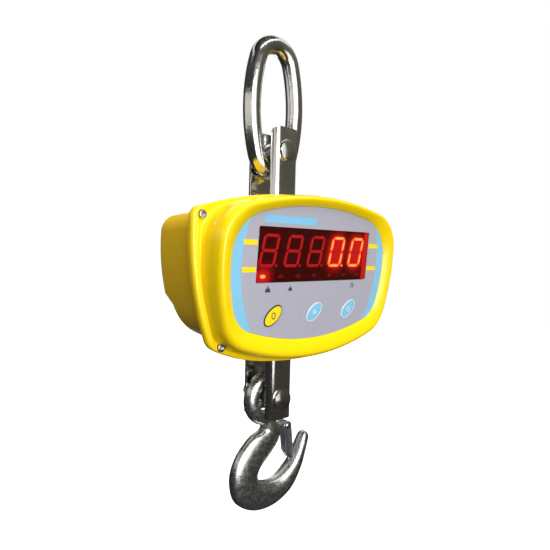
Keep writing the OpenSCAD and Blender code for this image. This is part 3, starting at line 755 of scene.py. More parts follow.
@dataclass
class Housing:
    """Moulded housing: front cover, rear casing, their screws and the battery door, in millimetres."""

    panel: Panel
    flange: Outline = Outline(52.0, (407, 11, 275, 17, 180), (0, 17, 88, 110, 155, 171))
    bezel: Outline = Outline(50.0, (365, 38, 200, 34), (0, 13.8, 86, 107, 160))
    glass: Outline = Outline(39.7, (300, 40, 137, 28), (0, 13.5, 86, 107, 162))
    casing: Outline = Outline(47.7, (380, 22, 196, 53), (0, 15.4, 86, 107, 160))
    # Angles that an outline is sampled between, with the number of steps
    spans: tuple[tuple[float, float, int], ...] = (
        (0, 15, 10), (15, 88, 26), (88, 108, 10), (108, 158, 20), (158, 180, 10))
    smooth_below: float = 32.0
    # Power of the sine by which a ring swells towards the sides
    side_weight: float = 1.5

    flange_out: float = 50.0
    # Offset from the flange, growth of it towards the sides, and depth behind the flange's face
    flange_edge: tuple[Three, ...] = (
        (0, 0, 3.2), (-0.2, -0.4, 1.4), (-0.5, -1.6, 0.2), (-0.8, -5.4, -0.2))
    # Share of the way from the flange to the bezel, depth behind the flange's face, and dip at the sides
    valley: tuple[Three, ...] = ((0.35, -0.2, 3.2), (0.75, -0.6, 2.6))
    foot_rise: float = 2.2
    foot_swell: float = 0.5
    wall_shares: tuple[float, ...] = (0.3, 0.65)
    # Share of the way from the bezel to the glass, and height over the panel
    bead: tuple[Point, ...] = (
        (0, -5), (0.03, -1), (0.07, 2), (0.15, 4.2), (0.27, 5.4), (0.45, 5.1), (0.68, 3.6), (0.88, 1.8),
        (1, 0.4))
    glass_room: float = 0.4
    # Offset from the glass and height over the panel, down the ledge that the panel lies on
    ledge: tuple[Point, ...] = ((0.2, -0.4), (0.2, -2.6), (-6, -2.6), (-6, -5.2))
    under_bezel: float = 8.0
    under_share: float = 0.7
    cover_wall: float = 8.0
    cover_back: float = -45.5
    back_chamfer: float = 0.8

    casing_front: float = -44.9
    casing_flange: float = 3.0
    # Offset from the casing and height over its flange, where the two blend
    root_blend: tuple[Point, ...] = ((-0.3, 4), (0, 1.2), (0.8, 0.2))
    # Offset from the flange and height over its back
    flange_rim: tuple[Point, ...] = ((-1.2, 0), (-0.4, -0.8))
    back_out: float = 27.0
    bay_depth: float = 10.5
    step: Point = (-56.0, -46.0)
    rear_round: float = 13.0
    rear_draft: float = 4.5
    round_steps: int = 10
    wall: float = 3.2

    way_room: float = 0.2
    way_corner: float = 9.1
    upper_way: Point = (20.0, 60.0)
    lower_way: Point = (-117.0, -77.0)
    port_radius: float = 7.05
    port_reach: float = 20.0

    screw_places: tuple[Point, ...] = ((117.4, 26.6), (-117.4, 26.6), (96.5, -85.9), (-96.5, -85.9))
    screw_head: Point = (3.6, 3.4)
    screw_shank: Point = (1.85, 9.0)
    screw_foot: Point = (0.15, 0.2)
    # How much smaller the head is, and the distance under its top
    screw_crown: tuple[Point, ...] = ((0, 0.7), (0.2, 0.2), (0.6, 0))
    screw_sink: float = 1.6
    # Radius, distance under the head's top and distance across flats, down the hexagon socket
    screw_drive: tuple[tuple[float, ...], ...] = ((2.15, 0), (2.0, 0.25, 3.6), (2.0, 2.1, 3.5))
    screw_hole: float = 2.2
    hole_start: float = 20.0
    recess_radius: float = 4.2
    recess_reach: float = 8.0

    door_room: float = 0.6
    door_corner: float = 5.0
    # How much smaller the door is, its corner and the distance under its face, from its edge inwards
    door_edge: tuple[Three, ...] = (
        (0, 5, 0.5), (0.3, 4.85, 0.15), (1, 4.5, 0), (16, 4, 0), (17, 3.5, 0.5))
    door_reach: float = 20.0
    door_screw_places: Point = (46.0, 23.5)
    door_screw_sink: float = 1.0
    door_screw_hole: Point = (2.9, 3.0)
    pan_profile: tuple[Point, ...] = (
        (1.25, -6), (1.25, 0), (2.7, 0), (2.7, 0.6), (2.4, 1.05), (1.7, 1.32), (0.6, 1.4))
    cross: Point = (3.2, 0.6)
    cross_corner: float = 0.2
    cross_levels: Point = (0.7, 3.0)

    socket_radius: float = 6.95
    # Radius and distance under the top, over the rim and down to the centre pin
    socket_profile: tuple[Point, ...] = (
        (6.95, 2.4), (9.4, 2.4), (9.4, 0.8), (9.0, 0.2), (8.4, 0), (5.4, 0), (5.0, 0.4), (5.0, 8.4),
        (1.6, 8.4), (1.6, 2.4), (1.1, 1.9))

    def angles(self) -> list[float]:
        """Angles at which the outlines are sampled.

        Returns:
            Angles from straight up to straight down.
        """
        picked = []
        for start, end, count in self.spans:
            picked += [start + (end - start) * step / count for step in range(count)]
        return [*picked, 180.0]

    @staticmethod
    def mirrored(half: Ring) -> Ring:
        """Closed ring in metres, from the right half in millimetres."""
        half = [place * MM for place in half]
        return half + [Vector((-point.x, point.y, point.z)) for point in half[-2:0:-1]]

    def tilted(self, outline: Outline, offset: float, out: float) -> Ring:
        """Ring on the leaning panel, at an offset from an outline."""
        points = [outline.point(angle, offset) for angle in self.angles()]
        return self.mirrored([self.panel.place(*point, out) / MM for point in points])

    def upright(self, outline: Outline, offset: float, depth: float,
                more: float = 0.0, deeper: float = 0.0) -> Ring:
        """Upright ring, which may move out and back towards the housing's sides.

        Args:
            outline: Outline that it follows.
            offset: Offset from the outline at the top and bottom.
            depth: Depth at the top and bottom.
            more: Growth of the offset at the sides.
            deeper: Growth of the depth at the sides.

        Returns:
            The ring.
        """
        half = []
        for angle in self.angles():
            weight = sin(radians(angle)) ** self.side_weight if angle < 180 else 0.0
            across, up = outline.point(angle, offset + more * weight)
            half.append(Vector((across, depth + deeper * weight, up - self.panel.drop)))
        return self.mirrored(half)

    def cover_rings(self) -> list[Ring]:
        """Rings of the front cover, from its back edge over the flange and bezel and back inside.

        Returns:
            The rings in order.
        """
        face = -self.flange_out
        skin = []
        for offset, more, depth in self.flange_edge:
            skin.append(self.upright(self.flange, offset, face + depth, more))
        crest = skin[-1]
        for share, depth, dip in self.valley:
            far = self.upright(self.bezel, 0, face + depth, self.foot_swell, dip)
            skin.append(Shapes.between(crest, far, share))
        foot = self.upright(self.bezel, 0, face - self.foot_rise, self.foot_swell)
        wall_top = self.tilted(self.bezel, 0, self.bead[0][1])
        skin += [foot, *(Shapes.between(foot, wall_top, share) for share in self.wall_shares)]
        for share, out in self.bead:
            inner = self.tilted(self.glass, self.glass_room, out)
            skin.append(Shapes.between(self.tilted(self.bezel, 0, out), inner, share))
        back = [
            self.upright(self.flange, -self.back_chamfer, self.cover_back),
            self.upright(self.flange, 0, self.cover_back - self.back_chamfer)]
        under = (self.tilted(outline, 0, -self.under_bezel) for outline in (self.glass, self.bezel))
        inside = [
            *(self.tilted(self.glass, offset, out) for offset, out in self.ledge),
            Shapes.between(*under, self.under_share),
            self.upright(self.casing, -self.cover_wall, self.cover_back)]
        return back + Shapes.smooth(skin, steps=4) + inside

    def facing(self, right: float, up: float) -> Matrix:
        """Frame whose Z points straight out of the front, at a place on the housing."""
        return Matrix.Translation(Vector((right, 0, up - self.panel.drop)) * MM) @ FACING_FRONT

    def front_cover(self) -> Object:
        """Moulds the front cover and sinks the four screw recesses.

        Returns:
            The cover.
        """
        cover = Bench.loft("front_cover_moulding", self.cover_rings(), Ends.JOINED)
        seat, mouth = self.flange_out - self.screw_sink, self.flange_out + self.recess_reach
        recess = (
            (self.screw_hole, self.hole_start), (self.screw_hole, seat),
            (self.recess_radius, seat), (self.recess_radius, mouth))
        for place in self.screw_places:
            rings = Shapes.turned(recess, Facets.MEDIUM, self.facing(*place))
            Bench.cut(cover, Bench.loft("recess", rings))
        return Bench.tidy(cover, self.smooth_below)

    def back_depth(self, up: float) -> float:
        """Depth of the back at a height: the battery bay stands out over the upper part.

        Args:
            up: Height over the housing's middle.

        Returns:
            The depth.
        """
        low, high = self.step
        rise = min(max((up - low) / (high - low), 0.0), 1.0)
        return self.back_out + self.bay_depth * rise * rise * (3 - 2 * rise)

    def back_ring(self, inset: float, shy: float) -> Ring:
        """Ring that follows the back.

        Args:
            inset: Offset from the casing's outline.
            shy: Distance that it stays under the back.

        Returns:
            The ring.
        """
        half = []
        for angle in self.angles():
            across, up = self.casing.point(angle, inset)
            half.append(Vector((across, self.back_depth(up) - shy, up - self.panel.drop)))
        return self.mirrored(half)

    def rounding(self, inward: float) -> list[Ring]:
        """Rings round the casing's back edge.

        Args:
            inward: Distance inside the casing's outer skin.

        Returns:
            Rings from the back to the side.
        """
        radius = self.rear_round - inward
        made = []
        for step in range(self.round_steps + 1):
            turn = radians(90 - 90 * step / self.round_steps)
            inset = -self.rear_draft - inward - radius * (1 - cos(turn))
            made.append(self.back_ring(inset, inward + radius * (1 - sin(turn))))
        return made

    def rear_casing(self) -> Object:
        """Moulds the rear casing, a deep cup with a flange, and cuts its openings.

        Returns:
            The casing.
        """
        root = self.casing_front + self.casing_flange
        skin = [
            *self.rounding(0),
            *(self.upright(self.casing, offset, root + rise) for offset, rise in self.root_blend),
            *(self.upright(self.flange, offset, root + rise) for offset, rise in self.flange_rim),
            self.upright(self.flange, self.flange_rim[-1][0], self.casing_front),
            self.upright(self.casing, -self.wall, self.casing_front),
            *reversed(self.rounding(self.wall))]
        casing = Bench.loft("rear_casing_moulding", skin, Ends.OPEN)
        self.close_back(casing)
        for ring, place, ends in self.openings():
            rings = [Shapes.moved(ring, place @ Matrix.Translation((0, 0, end * MM))) for end in ends]
            Bench.cut(casing, Bench.loft("opening", rings))
        return Bench.tidy(casing, self.smooth_below)

    def close_back(self, casing: Object) -> None:
        """Bridges the right and left halves of each open back ring.

        Args:
            casing: Lofted casing.
        """
        Bench.hold(casing)
        bpy.ops.object.mode_set(mode="EDIT")
        for outer in (True, False):
            Bench.pick_edges(casing, lambda edge, side=outer: self.on_half(edge, side))
            bpy.ops.mesh.bridge_edge_loops()
        Bench.pick_open(casing)
        bpy.ops.mesh.fill_holes(sides=4)
        bpy.ops.object.mode_set(mode="OBJECT")

    def on_half(self, edge: BMEdge, outer: bool) -> bool:
        """Says whether an edge bounds the right or left half of an open back ring.

        Args:
            edge: Edge of the casing.
            outer: Whether the ring of the outer skin is meant, or else that of the inner one.

        Returns:
            Whether it does.
        """
        first, second = (vertex.co for vertex in edge.verts)
        aside = min(abs(first.x), abs(second.x)) > SAME_PLACE
        skin = (self.back_depth(first.z / MM + self.panel.drop) - self.wall / 2) * MM
        return edge.is_boundary and aside and (first.y > skin) is outer

    def door_frame(self) -> tuple[Matrix, float, float, float]:
        """Frame on the battery door's inner face, its Z pointing out of the back.

        Returns:
            The frame with the door's width, thickness and height.
        """
        low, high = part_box("battery_cover")
        width, thick, height = ((end - start) / MM for start, end in zip(low, high))
        return Matrix.Translation((0, low.y, (low.z + high.z) / 2)) @ FACING_BACK, width, thick, height

    def openings(self) -> list[tuple[Ring, Matrix, Point]]:
        """Openings of the casing: the column's two ways, the battery door's seat and the charging port.

        Returns:
            Outline of each opening, its frame, and where it starts and ends along the frame's Z.
        """
        low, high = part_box("column_seals")
        wide, deep = ((high - low) / MM).xy
        way = Shapes.rounded(wide + self.way_room, deep + self.way_room, self.way_corner, 0.0)
        middle = Matrix.Translation((0, 0, -self.panel.drop * MM))
        door, width, _, height = self.door_frame()
        corner = self.door_corner + self.door_room / 2
        seat = Shapes.rounded(width + self.door_room, height + self.door_room, corner, 0.0)
        low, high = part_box("charge_socket")
        port = Matrix.Translation((low + high) / 2) @ FACING_BACK
        return [
            (way, middle, self.upper_way),
            (way, middle, self.lower_way),
            (seat, door, (0.0, self.door_reach)),
            (Shapes.disc(self.port_radius, 0, Facets.LARGE), port, (-self.port_reach, self.port_reach))]

    def cover_screw(self) -> Object:
        """Turns a socket-head screw at the origin, its head facing along Z.

        Returns:
            The screw.
        """
        radius, height = self.screw_head
        shank, length = self.screw_shank
        inset, rise = self.screw_foot
        profile = [(shank, -length), (shank, 0), (radius - inset, 0), (radius, rise)]
        profile += [(radius - less, height - under) for less, under in self.screw_crown]
        profile += [(reach, height - under, *flats) for reach, under, *flats in self.screw_drive]
        return Bench.loft("cover_screw", Shapes.turned(profile, Facets.MEDIUM))

    def pan_screw(self) -> Object:
        """Turns a pan-head screw at the origin and cuts its cross.

        Returns:
            The screw.
        """
        screw = Bench.loft("pan_screw", Shapes.turned(self.pan_profile, Facets.SMALL))
        for size in (self.cross, self.cross[::-1]):
            bar = [Shapes.rounded(*size, self.cross_corner, along) for along in self.cross_levels]
            Bench.cut(screw, Bench.loft("cross", bar))
        return Bench.tidy(screw)

    def battery_door(self) -> Object:
        """Moulds the battery door with a rounded edge, a sunken field and sunken screws.

        Returns:
            The door.
        """
        place, width, thick, height = self.door_frame()
        rings = [Shapes.rounded(width, height, self.door_corner, 0)]
        for less, corner, under in self.door_edge:
            rings.append(Shapes.rounded(width - less, height - less, corner, thick - under))
        door = Bench.loft("battery_door", [Shapes.moved(ring, place) for ring in rings])
        radius, reach = self.door_screw_hole
        for screw in self.door_screws():
            rings = Shapes.turned(((radius, 0), (radius, reach)), Facets.SMALL, screw)
            Bench.cut(door, Bench.loft("sink", rings))
        return Bench.tidy(door)

    def door_screws(self) -> list[Matrix]:
        """Frames of the battery door's screws.

        Returns:
            Frames whose Z points out of the back.
        """
        low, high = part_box("battery_cover")
        middle, depth = (low.z + high.z) / 2, high.y - self.door_screw_sink * MM
        across, up = self.door_screw_places
        places = [(x * MM, depth, middle + z * MM) for x in (-across, across) for z in (-up, up)]
        return [Matrix.Translation(place) @ FACING_BACK for place in places]

    def charge_socket(self) -> Object:
        """Turns the charging socket with its rounded rim and its centre pin.

        Returns:
            The socket.
        """
        low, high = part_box("charge_socket")
        middle = (low + high) / 2
        place = Matrix.Translation((middle.x, low.y, middle.z)) @ FACING_BACK
        top = (high.y - low.y) / MM
        profile = [(self.socket_radius, 0)]
        profile += [(radius, top - under) for radius, under in self.socket_profile]
        return Bench.loft("charging_socket", Shapes.turned(profile, Facets.LARGE, place))

    def build(self) -> None:
        """Builds and dresses the housing's pieces."""
        for piece, node, finish in (
                (self.front_cover(), "front_cover", Finishes.YELLOW_FRONT),
                (self.rear_casing(), "rear_casing", Finishes.YELLOW_REAR_PAINTED_SHADE),
                (self.battery_door(), "battery_cover", Finishes.YELLOW_REAR_PAINTED_SHADE),
                (self.charge_socket(), "charge_socket", Finishes.BLACK)):
            Crew.fit(finish.lay_on(piece), HOUSING_BODY, node)
        seat = (self.flange_out - self.screw_sink) * MM
        heads = [self.facing(*place) @ Matrix.Translation((0, 0, seat)) for place in self.screw_places]
        Crew.repeat(self.cover_screw(), heads, "cover_screws", Finishes.STEEL)
        Crew.repeat(self.pan_screw(), self.door_screws(), "battery_screws", Finishes.STEEL)


@dataclass
class Suspension:
    """Lifting link, forked column and the two fork pins with their nuts, in millimetres."""

    link_end: float = 23.0
    bar_points: int = 56
    arc_steps: int = 48

    cell_width: float = 32.0
    cell_depth: float = 46.0
    cell_edge: float = 7.0
    top_round: float = 7.0
    bottom_round: float = 3.0
    fork_gap: float = 31.0
    slot_floors: Point = (-153.0, -300.0)
    slot_reach: float = 40.0
    run_out: float = 20.0
    edge_round: float = 0.5
    smooth_below: float = 30.0

    pin_radius: float = 10.0
    head_radius: float = 10.8
    head_height: float = 5.0
    head_gap: float = 0.2
    dome: float = 2.0
    dome_shares: tuple[float, ...] = (0.985, 0.95, 0.9, 0.8, 0.65, 0.5, 0.35, 0.2, 0.08)
    rim_drop: float = 0.6
    stud_radius: float = 6.0
    stud_length: float = 8.0
    stud_chamfer: float = 1.2
    thread_pitch: float = 1.0
    thread_depths: Point = (0.1, 0.7)
    nut_across: float = 19.0
    nut_height: float = 5.5
    nut_room: float = 0.15
    nut_foot: float = 0.1
    nut_chamfer: float = 1.2
    bore_chamfer: float = 0.6
    chamfer_steps: int = 5

    def link(self) -> Object:
        """Bends the bar into the long link: an oval of two round ends and two bowed sides.

        Returns:
            The link.
        """
        low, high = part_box("lifting_link")
        bar = (high.y - low.y) / 2
        half, end = (high.x - low.x) / 2 - bar, self.link_end * MM
        middle, rise = (low.z + high.z) / 2, (high.z - low.z) / 2 - bar - end
        side = (half**2 + rise**2 - end**2) / (2 * (half - end))
        turn = asin(rise / (side - end))
        arcs = (
            (0.0, rise, end, turn, pi - turn), (side - half, 0.0, side, pi - turn, pi + turn),
            (0.0, -rise, end, pi + turn, 2 * pi - turn), (half - side, 0.0, side, -turn, turn))
        around = [2 * pi * index / self.bar_points for index in range(self.bar_points)]
        rings = []
        for across, up, radius, start, stop in arcs:
            for step in range(self.arc_steps):
                angle = start + (stop - start) * step / self.arc_steps
                out = Vector((cos(angle), 0, sin(angle)))
                centre = Vector((across, 0, middle + up)) + radius * out
                rings.append([centre + bar * (cos(t) * out + Vector((0, sin(t), 0))) for t in around])
        return Bench.tidy(Bench.loft("long_link", rings, Ends.JOINED))

    def front_outline(self, low: float, high: float) -> Points:
        """Outline of the column from the front.

        Args:
            low: Height of the lower end.
            high: Height of the upper end.

        Returns:
            Points to the right and up.
        """
        points = []
        upper, lower = (high - self.top_round, self.top_round), (low + self.bottom_round, self.bottom_round)
        for corner, (side, (up, radius)) in enumerate(((1, upper), (-1, upper), (-1, lower), (1, lower))):
            middle = (side * (self.cell_width / 2 - radius), up)
            points += Shapes.arc(middle, radius, 90 * corner, 90 * corner + 90, steps=8)
        return points

    def column(self) -> Object:
        """Cuts the column from a bar: rounded edges and ends, and a round-floored slot at each end.

        Returns:
            The column.
        """
        low, high = (corner.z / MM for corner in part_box("load_cell"))
        size = (self.cell_width, self.cell_depth, self.cell_edge)
        column = Bench.loft("forked_column", [Shapes.rounded(*size, along) for along in (low, high)])
        outline = self.front_outline(low, high)
        profile = [
            [Vector((across, depth, up)) * MM for across, up in outline]
            for depth in (-self.cell_depth, self.cell_depth)]
        Bench.cut(column, Bench.loft("profile", profile), "INTERSECT")
        for floor, end in zip(self.slot_floors, (high + self.run_out, low - self.run_out)):
            Bench.cut(column, self.slot(floor, end))
        Bench.soften(column, self.edge_round, segments=3)
        return Bench.tidy(column, self.smooth_below)

    def slot(self, floor: float, end: float) -> Object:
        """Cutter for a fork slot.

        Args:
            floor: Height of the slot's round floor.
            end: Height the slot runs out to.

        Returns:
            The cutter.
        """
        half = self.fork_gap / 2
        sign = 1 if end > floor else -1
        round_floor = Shapes.arc((0, floor + sign * half), half, 180, 180 + sign * 180, steps=24)
        outline = [(half, end), (-half, end), *round_floor]
        rings = [
            [Vector((across, depth, up)) * MM for depth, up in outline]
            for across in (-self.slot_reach, self.slot_reach)]
        return Bench.loft("slot", rings)

    def pin(self) -> Object:
        """Turns a fork pin at the origin, its domed head along Z and its threaded stud behind.

        Returns:
            The pin.
        """
        half = self.cell_depth / 2
        tail = -half - self.stud_length
        profile = [(self.stud_radius - self.stud_chamfer, tail)]
        crest, root = (self.stud_radius - depth for depth in self.thread_depths)
        for ridge in range(int(self.stud_length / self.thread_pitch)):
            along = tail + self.thread_pitch / 2 + ridge * self.thread_pitch
            profile += [(crest, along), (root, along + self.thread_pitch / 2)]
        top = half + self.head_height
        profile += [
            (self.pin_radius, -half), (self.pin_radius, half), (self.head_radius, half + self.head_gap),
            (self.head_radius, top - self.dome - self.rim_drop)]
        sphere = (self.head_radius**2 + self.dome**2) / (2 * self.dome)
        for share in self.dome_shares:
            reach = self.head_radius * share
            profile.append((reach, top - sphere + sqrt(sphere**2 - reach**2)))
        return Bench.loft("fork_pin", Shapes.turned(profile, Facets.FULL))

    def nut(self) -> Object:
        """Turns a chamfered hexagon nut at the origin, standing along Z.

        Returns:
            The nut.
        """
        across, height, hole = self.nut_across, self.nut_height, self.stud_radius + self.nut_room
        corner, mouth = across / sqrt(3), hole + self.bore_chamfer
        profile = [
            (hole, self.bore_chamfer), (mouth, 0), (across / 2, 0, across), (corner, self.nut_foot, across)]
        for step in range(self.chamfer_steps + 1):
            share = step / self.chamfer_steps
            reach = corner - (corner - across / 2) * share
            profile.append((reach, height - self.nut_chamfer * (1 - share), across))
        profile += [(mouth, height), (hole, height - self.bore_chamfer)]
        return Bench.loft("pin_nut", Shapes.turned(profile, Facets.FULL), Ends.JOINED)

    def build(self) -> None:
        """Builds and dresses the link, the column, the pins and the nuts."""
        Crew.fit(Finishes.LINK.lay_on(self.link()), LINK_BODY, "lifting_link")
        Crew.fit(Finishes.COLUMN.lay_on(self.column()), HOUSING_BODY, "load_cell")
        pin, nut = self.pin(), self.nut()
        for name in ("upper", "lower"):
            low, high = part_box(f"{name}_pin")
            level = (low.z + high.z) / 2
            front = Matrix.Translation((0, 0, level)) @ FACING_FRONT
            back = Matrix.Translation((0, self.cell_depth / 2 * MM, level)) @ FACING_BACK
            fork_pin = Bench.copy(pin, f"{name}_fork_pin", front)
            pin_nut = Bench.copy(nut, f"{name}_pin_nut", back)
            Crew.fit(Finishes.PIN.lay_on(fork_pin), HOUSING_BODY, f"{name}_pin")
            Crew.fit(Finishes.PIN.lay_on(pin_nut), HOUSING_BODY, f"{name}_nut")
        bpy.data.objects.remove(pin)
        bpy.data.objects.remove(nut)


@dataclass
class SwivelHook:
    """Forged hook with its sheet latch, rivet and torsion spring, in millimetres from the lower pin."""

    eye_radius: float = 13.5
    eye_bar: float = 16.0
    shift: float = 8.4
    # Inner point, outer point and width of the forging at each station, from the eye to the tip
    stations: tuple[tuple[float, float, float, float, float], ...] = (
        (8, -24, -8, -24, 15), (9.5, -33, -10, -33, 16.4), (10, -41, -16, -37.5, 16.4),
        (8.5, -51, -29.5, -42.5, 16.4), (-0.5, -62, -44, -55, 17), (-14, -73, -52.5, -70, 17.5),
        (-21, -83.5, -54.5, -86.5, 18), (-16.5, -91.5, -48, -107, 18), (-5, -94.8, -26, -121.5, 18),
        (7.5, -93.5, 1.5, -123.5, 18.5), (19, -87.5, 25.5, -112.5, 20), (28.5, -79.5, 41, -92, 18.5),
        (35.5, -69.5, 47, -77, 17), (40.5, -60, 51.6, -65.5, 15), (43.6, -54.4, 53.8, -58, 12.5),
        (46.8, -51.9, 51.4, -53.6, 6.5))
    shift_stations: int = 2
    station_points: int = 40
    squareness: float = 0.8
    pivot: Point = (18.1, -38.5)
    lug: Point = (3.3, 5.0)
    lug_root: float = 4.0
    voxel: float = 0.75
    smooth_below: float = 80.0

    latch_width: float = 13.0
    sheet: float = 1.4
    latch_lean: float = 8.5
    knuckle: float = 5.1
    latch_reach: float = 41.0
    shoulder: float = 31.0
    latch_depth: float = 7.2
    tongue: float = 2.6
    channel_width: float = 40.0
    channel_corner: float = 1.2
    channel_ends: Point = (-60.0, 30.0)
    fold_radius: float = 1.8
    fold_length: float = 20.0
    fold_margin: float = 0.2
    latch_edge: float = 0.3

    rivet_radius: float = 2.0
    # Radius and height over the cheek, from the top of the head down
    rivet_head: tuple[Point, ...] = ((0.6, 1.2), (1.8, 1.1), (2.7, 0.8), (3.2, 0.3), (3.2, 0.0))
    rivet_gap: float = 0.3
    wire: float = 0.45
    wire_points: int = 12
    coil_radius: float = 3.0
    coil_start: float = 3.05
    coil_pitch: float = 1.0
    coil_turns: float = 1.5
    coil_steps: int = 36

    def level(self) -> float:
        """Height of the lower pin."""
        low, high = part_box("lower_pin")
        return (low.z + high.z) / 2 / MM

    def oval(self, number: int) -> Ring:
        """Oval of the forging at a station.

        Args:
            number: Number of the station.

        Returns:
            The ring in metres.
        """
        x_in, z_in, x_out, z_out, width = self.stations[number]
        shift = self.shift * min(1.0, number / self.shift_stations)
        level = self.level()
        ring = []
        for index in range(self.station_points):
            angle = 2 * pi * index / self.station_points
            out, across = (
                copysign(abs(part) ** self.squareness, part) for part in (cos(angle), sin(angle)))
            ring.append(Vector((
                (x_in + x_out) / 2 + shift + (x_out - x_in) / 2 * out,
                width / 2 * across,
                level + (z_in + z_out) / 2 + (z_out - z_in) / 2 * out)) * MM)
        return ring

    def at_pivot(self) -> Matrix:
        """Frame on the latch's pivot, its Z running to the back."""
        place = Vector((self.shift + self.pivot[0], 0, self.level() + self.pivot[1])) * MM
        return Matrix.Translation(place) @ FACING_BACK

    def eye(self) -> Object:
        """Bends the hook's eye, which hangs on the lower pin.

        Returns:
            The eye.
        """
        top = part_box("hook")[1].z
        ring = self.eye_radius + self.eye_bar / 2
        Bench.clear()
        bpy.ops.mesh.primitive_torus_add(
            major_radius=ring * MM, minor_radius=self.eye_bar / 2 * MM, major_segments=96, minor_segments=40,
            location=(0, 0, top - (ring + self.eye_bar / 2) * MM), rotation=(pi / 2, 0, 0))
        eye = Bench.take("hook_eye")
        Bench.settle(eye)
        return eye

    def latch_lug(self) -> Object:
        """Shapes the lug that carries the latch's rivet.

        Returns:
            The lug.
        """
        radius, width = self.lug
        root = self.pivot[0] - self.lug_root
        outline = [(-root, radius), (-root, -radius), *Shapes.arc((0, 0), radius, -90, 90, steps=16)]
        rings = [[Vector((x, z, along)) * MM for x, z in outline] for along in (-width / 2, width / 2)]
        return Bench.loft("hook_lug", [Shapes.moved(ring, self.at_pivot()) for ring in rings])

    def hook(self) -> Object:
        """Forges the hook: swept body, eye and lug grown into one skin.

        Returns:
            The hook.
        """
        ovals = [self.oval(number) for number in range(len(self.stations))]
        body = Bench.loft("hook_body", Shapes.smooth(ovals, steps=6))
        hook = Bench.join("forged_hook", [body, self.eye(), self.latch_lug()])
        Bench.modify(hook, "REMESH", mode="VOXEL", voxel_size=self.voxel * MM)
        Bench.modify(hook, "SMOOTH", factor=0.5, iterations=10)
        return Bench.tidy(hook, self.smooth_below)

    def latch_outline(self) -> Points:
        """Side view of the latch, from its tongue round its heel to its knuckle.

        Returns:
            Points away from the pivot and up from it.
        """
        heel = self.knuckle - self.latch_depth
        start = degrees(acos(heel / self.knuckle))
        return [
            (self.knuckle, self.latch_reach), (self.knuckle - self.tongue, self.latch_reach),
            (heel, self.shoulder), *Shapes.arc((0, 0), self.knuckle, start, 360, steps=24)]

    def latch(self) -> Object:
        """Folds the latch: a channel with two cheeks on the rivet and a web that closes the throat.

        Returns:
            The latch.
        """
        outline = self.latch_outline()
        half = self.latch_width / 2
        lean = Matrix.Rotation(radians(-self.latch_lean), 4, "Y")
        upright = Matrix.Translation(self.at_pivot().translation) @ lean
        place = upright @ FACING_BACK
        rings = [[place @ (Vector((x, z, along)) * MM) for x, z in outline] for along in (-half, half)]
        latch = Bench.loft("sheet_latch", rings)
        inside = (self.channel_width, 2 * (half - self.sheet), self.channel_corner)
        middle = self.knuckle - self.sheet - self.channel_width / 2
        hollow = upright @ Matrix.Translation((middle * MM, 0, 0))
        channel = [Shapes.moved(Shapes.rounded(*inside, along), hollow) for along in self.channel_ends]
        Bench.cut(latch, Bench.loft("channel", channel))
        self.fold(latch, upright.inverted())
        Bench.soften(latch, self.latch_edge, segments=2)
        return Bench.tidy(latch)

    def fold(self, latch: Object, upright: Matrix) -> None:
        """Rounds the two long folds.

        Args:
            latch: Channel to round.
            upright: Turns the latch upright with its pivot at the origin.
        """
        Bench.hold(latch)
        bpy.ops.object.mode_set(mode="EDIT")
        Bench.pick_edges(latch, lambda edge: self.on_fold([upright @ vertex.co for vertex in edge.verts]))
        bpy.ops.mesh.bevel(offset=self.fold_radius * MM, segments=6, affect="EDGES")
        bpy.ops.object.mode_set(mode="OBJECT")

    def on_fold(self, ends: list[Vector]) -> bool:
        """Says whether an edge of the upright latch is one of its long folds, from the edge's ends."""
        long = (ends[0] - ends[1]).length > self.fold_length * MM
        return long and all(point.x > (self.knuckle - self.fold_margin) * MM for point in ends)

    def rivet(self) -> Object:
        """Turns the rivet with a domed head at each end.

        Returns:
            The rivet.
        """
        half = self.latch_width / 2 + self.rivet_gap
        profile = [(radius, -half - rise) for radius, rise in self.rivet_head]
        profile += [(self.rivet_radius, -half), (self.rivet_radius, half)]
        profile += [(radius, half + rise) for radius, rise in reversed(self.rivet_head)]
        return Bench.loft("latch_rivet", Shapes.turned(profile, Facets.SMALL, self.at_pivot()))

    def coil(self, side: int) -> Object:
        """Winds one coil of the torsion spring.

        Args:
            side: 1 behind the lug, -1 in front of it.

        Returns:
            The coil.
        """
        rings = []
        for step in range(int(self.coil_turns * self.coil_steps) + 1):
            angle = 2 * pi * step / self.coil_steps
            middle = self.coil_start + self.coil_pitch * step / self.coil_steps
            ring = []
            for index in range(self.wire_points):
                around = 2 * pi * index / self.wire_points
                reach = self.coil_radius + self.wire * cos(around)
                along = side * (middle + self.wire * sin(around))
                ring.append(Vector((reach * cos(angle), -reach * sin(angle), along)) * MM)
            rings.append(Shapes.moved(ring, self.at_pivot()))
        return Bench.loft("coil", rings)

    def build(self) -> None:
        """Builds and dresses the hook's pieces."""
        Crew.fit(Finishes.HOOK.lay_on(self.hook()), HOOK_BODY, "hook")
        Crew.fit(Finishes.STEEL.lay_on(self.rivet()), HOOK_BODY, "latch_pin")
        spring = Bench.join("torsion_spring", [self.coil(side) for side in (-1, 1)])
        Crew.fit(Finishes.SPRING.lay_on(spring), HOOK_BODY, "latch_spring")
        Crew.fit(Finishes.LATCH.lay_on(self.latch()), LATCH_BODY, "latch")


class Lit(Enum):
    """What a digit shows."""

    NOTHING = "nothing"
    NOUGHT = "nought"
    NOUGHT_POINT = "nought and point"


class Sign(Enum):
    """Sign on a key."""

    NOUGHT = "nought"
    PAUSE = "pause bars"
    POWER = "open ring and bar"


@dataclass(frozen=True)
class Key:
    """One key: the plain piece it stands in for, its body, its place on the panel, its inks and its sign."""

    node: str
    body: str
    place: Point
    rim: Finish
    face: Finish
    sign: Sign


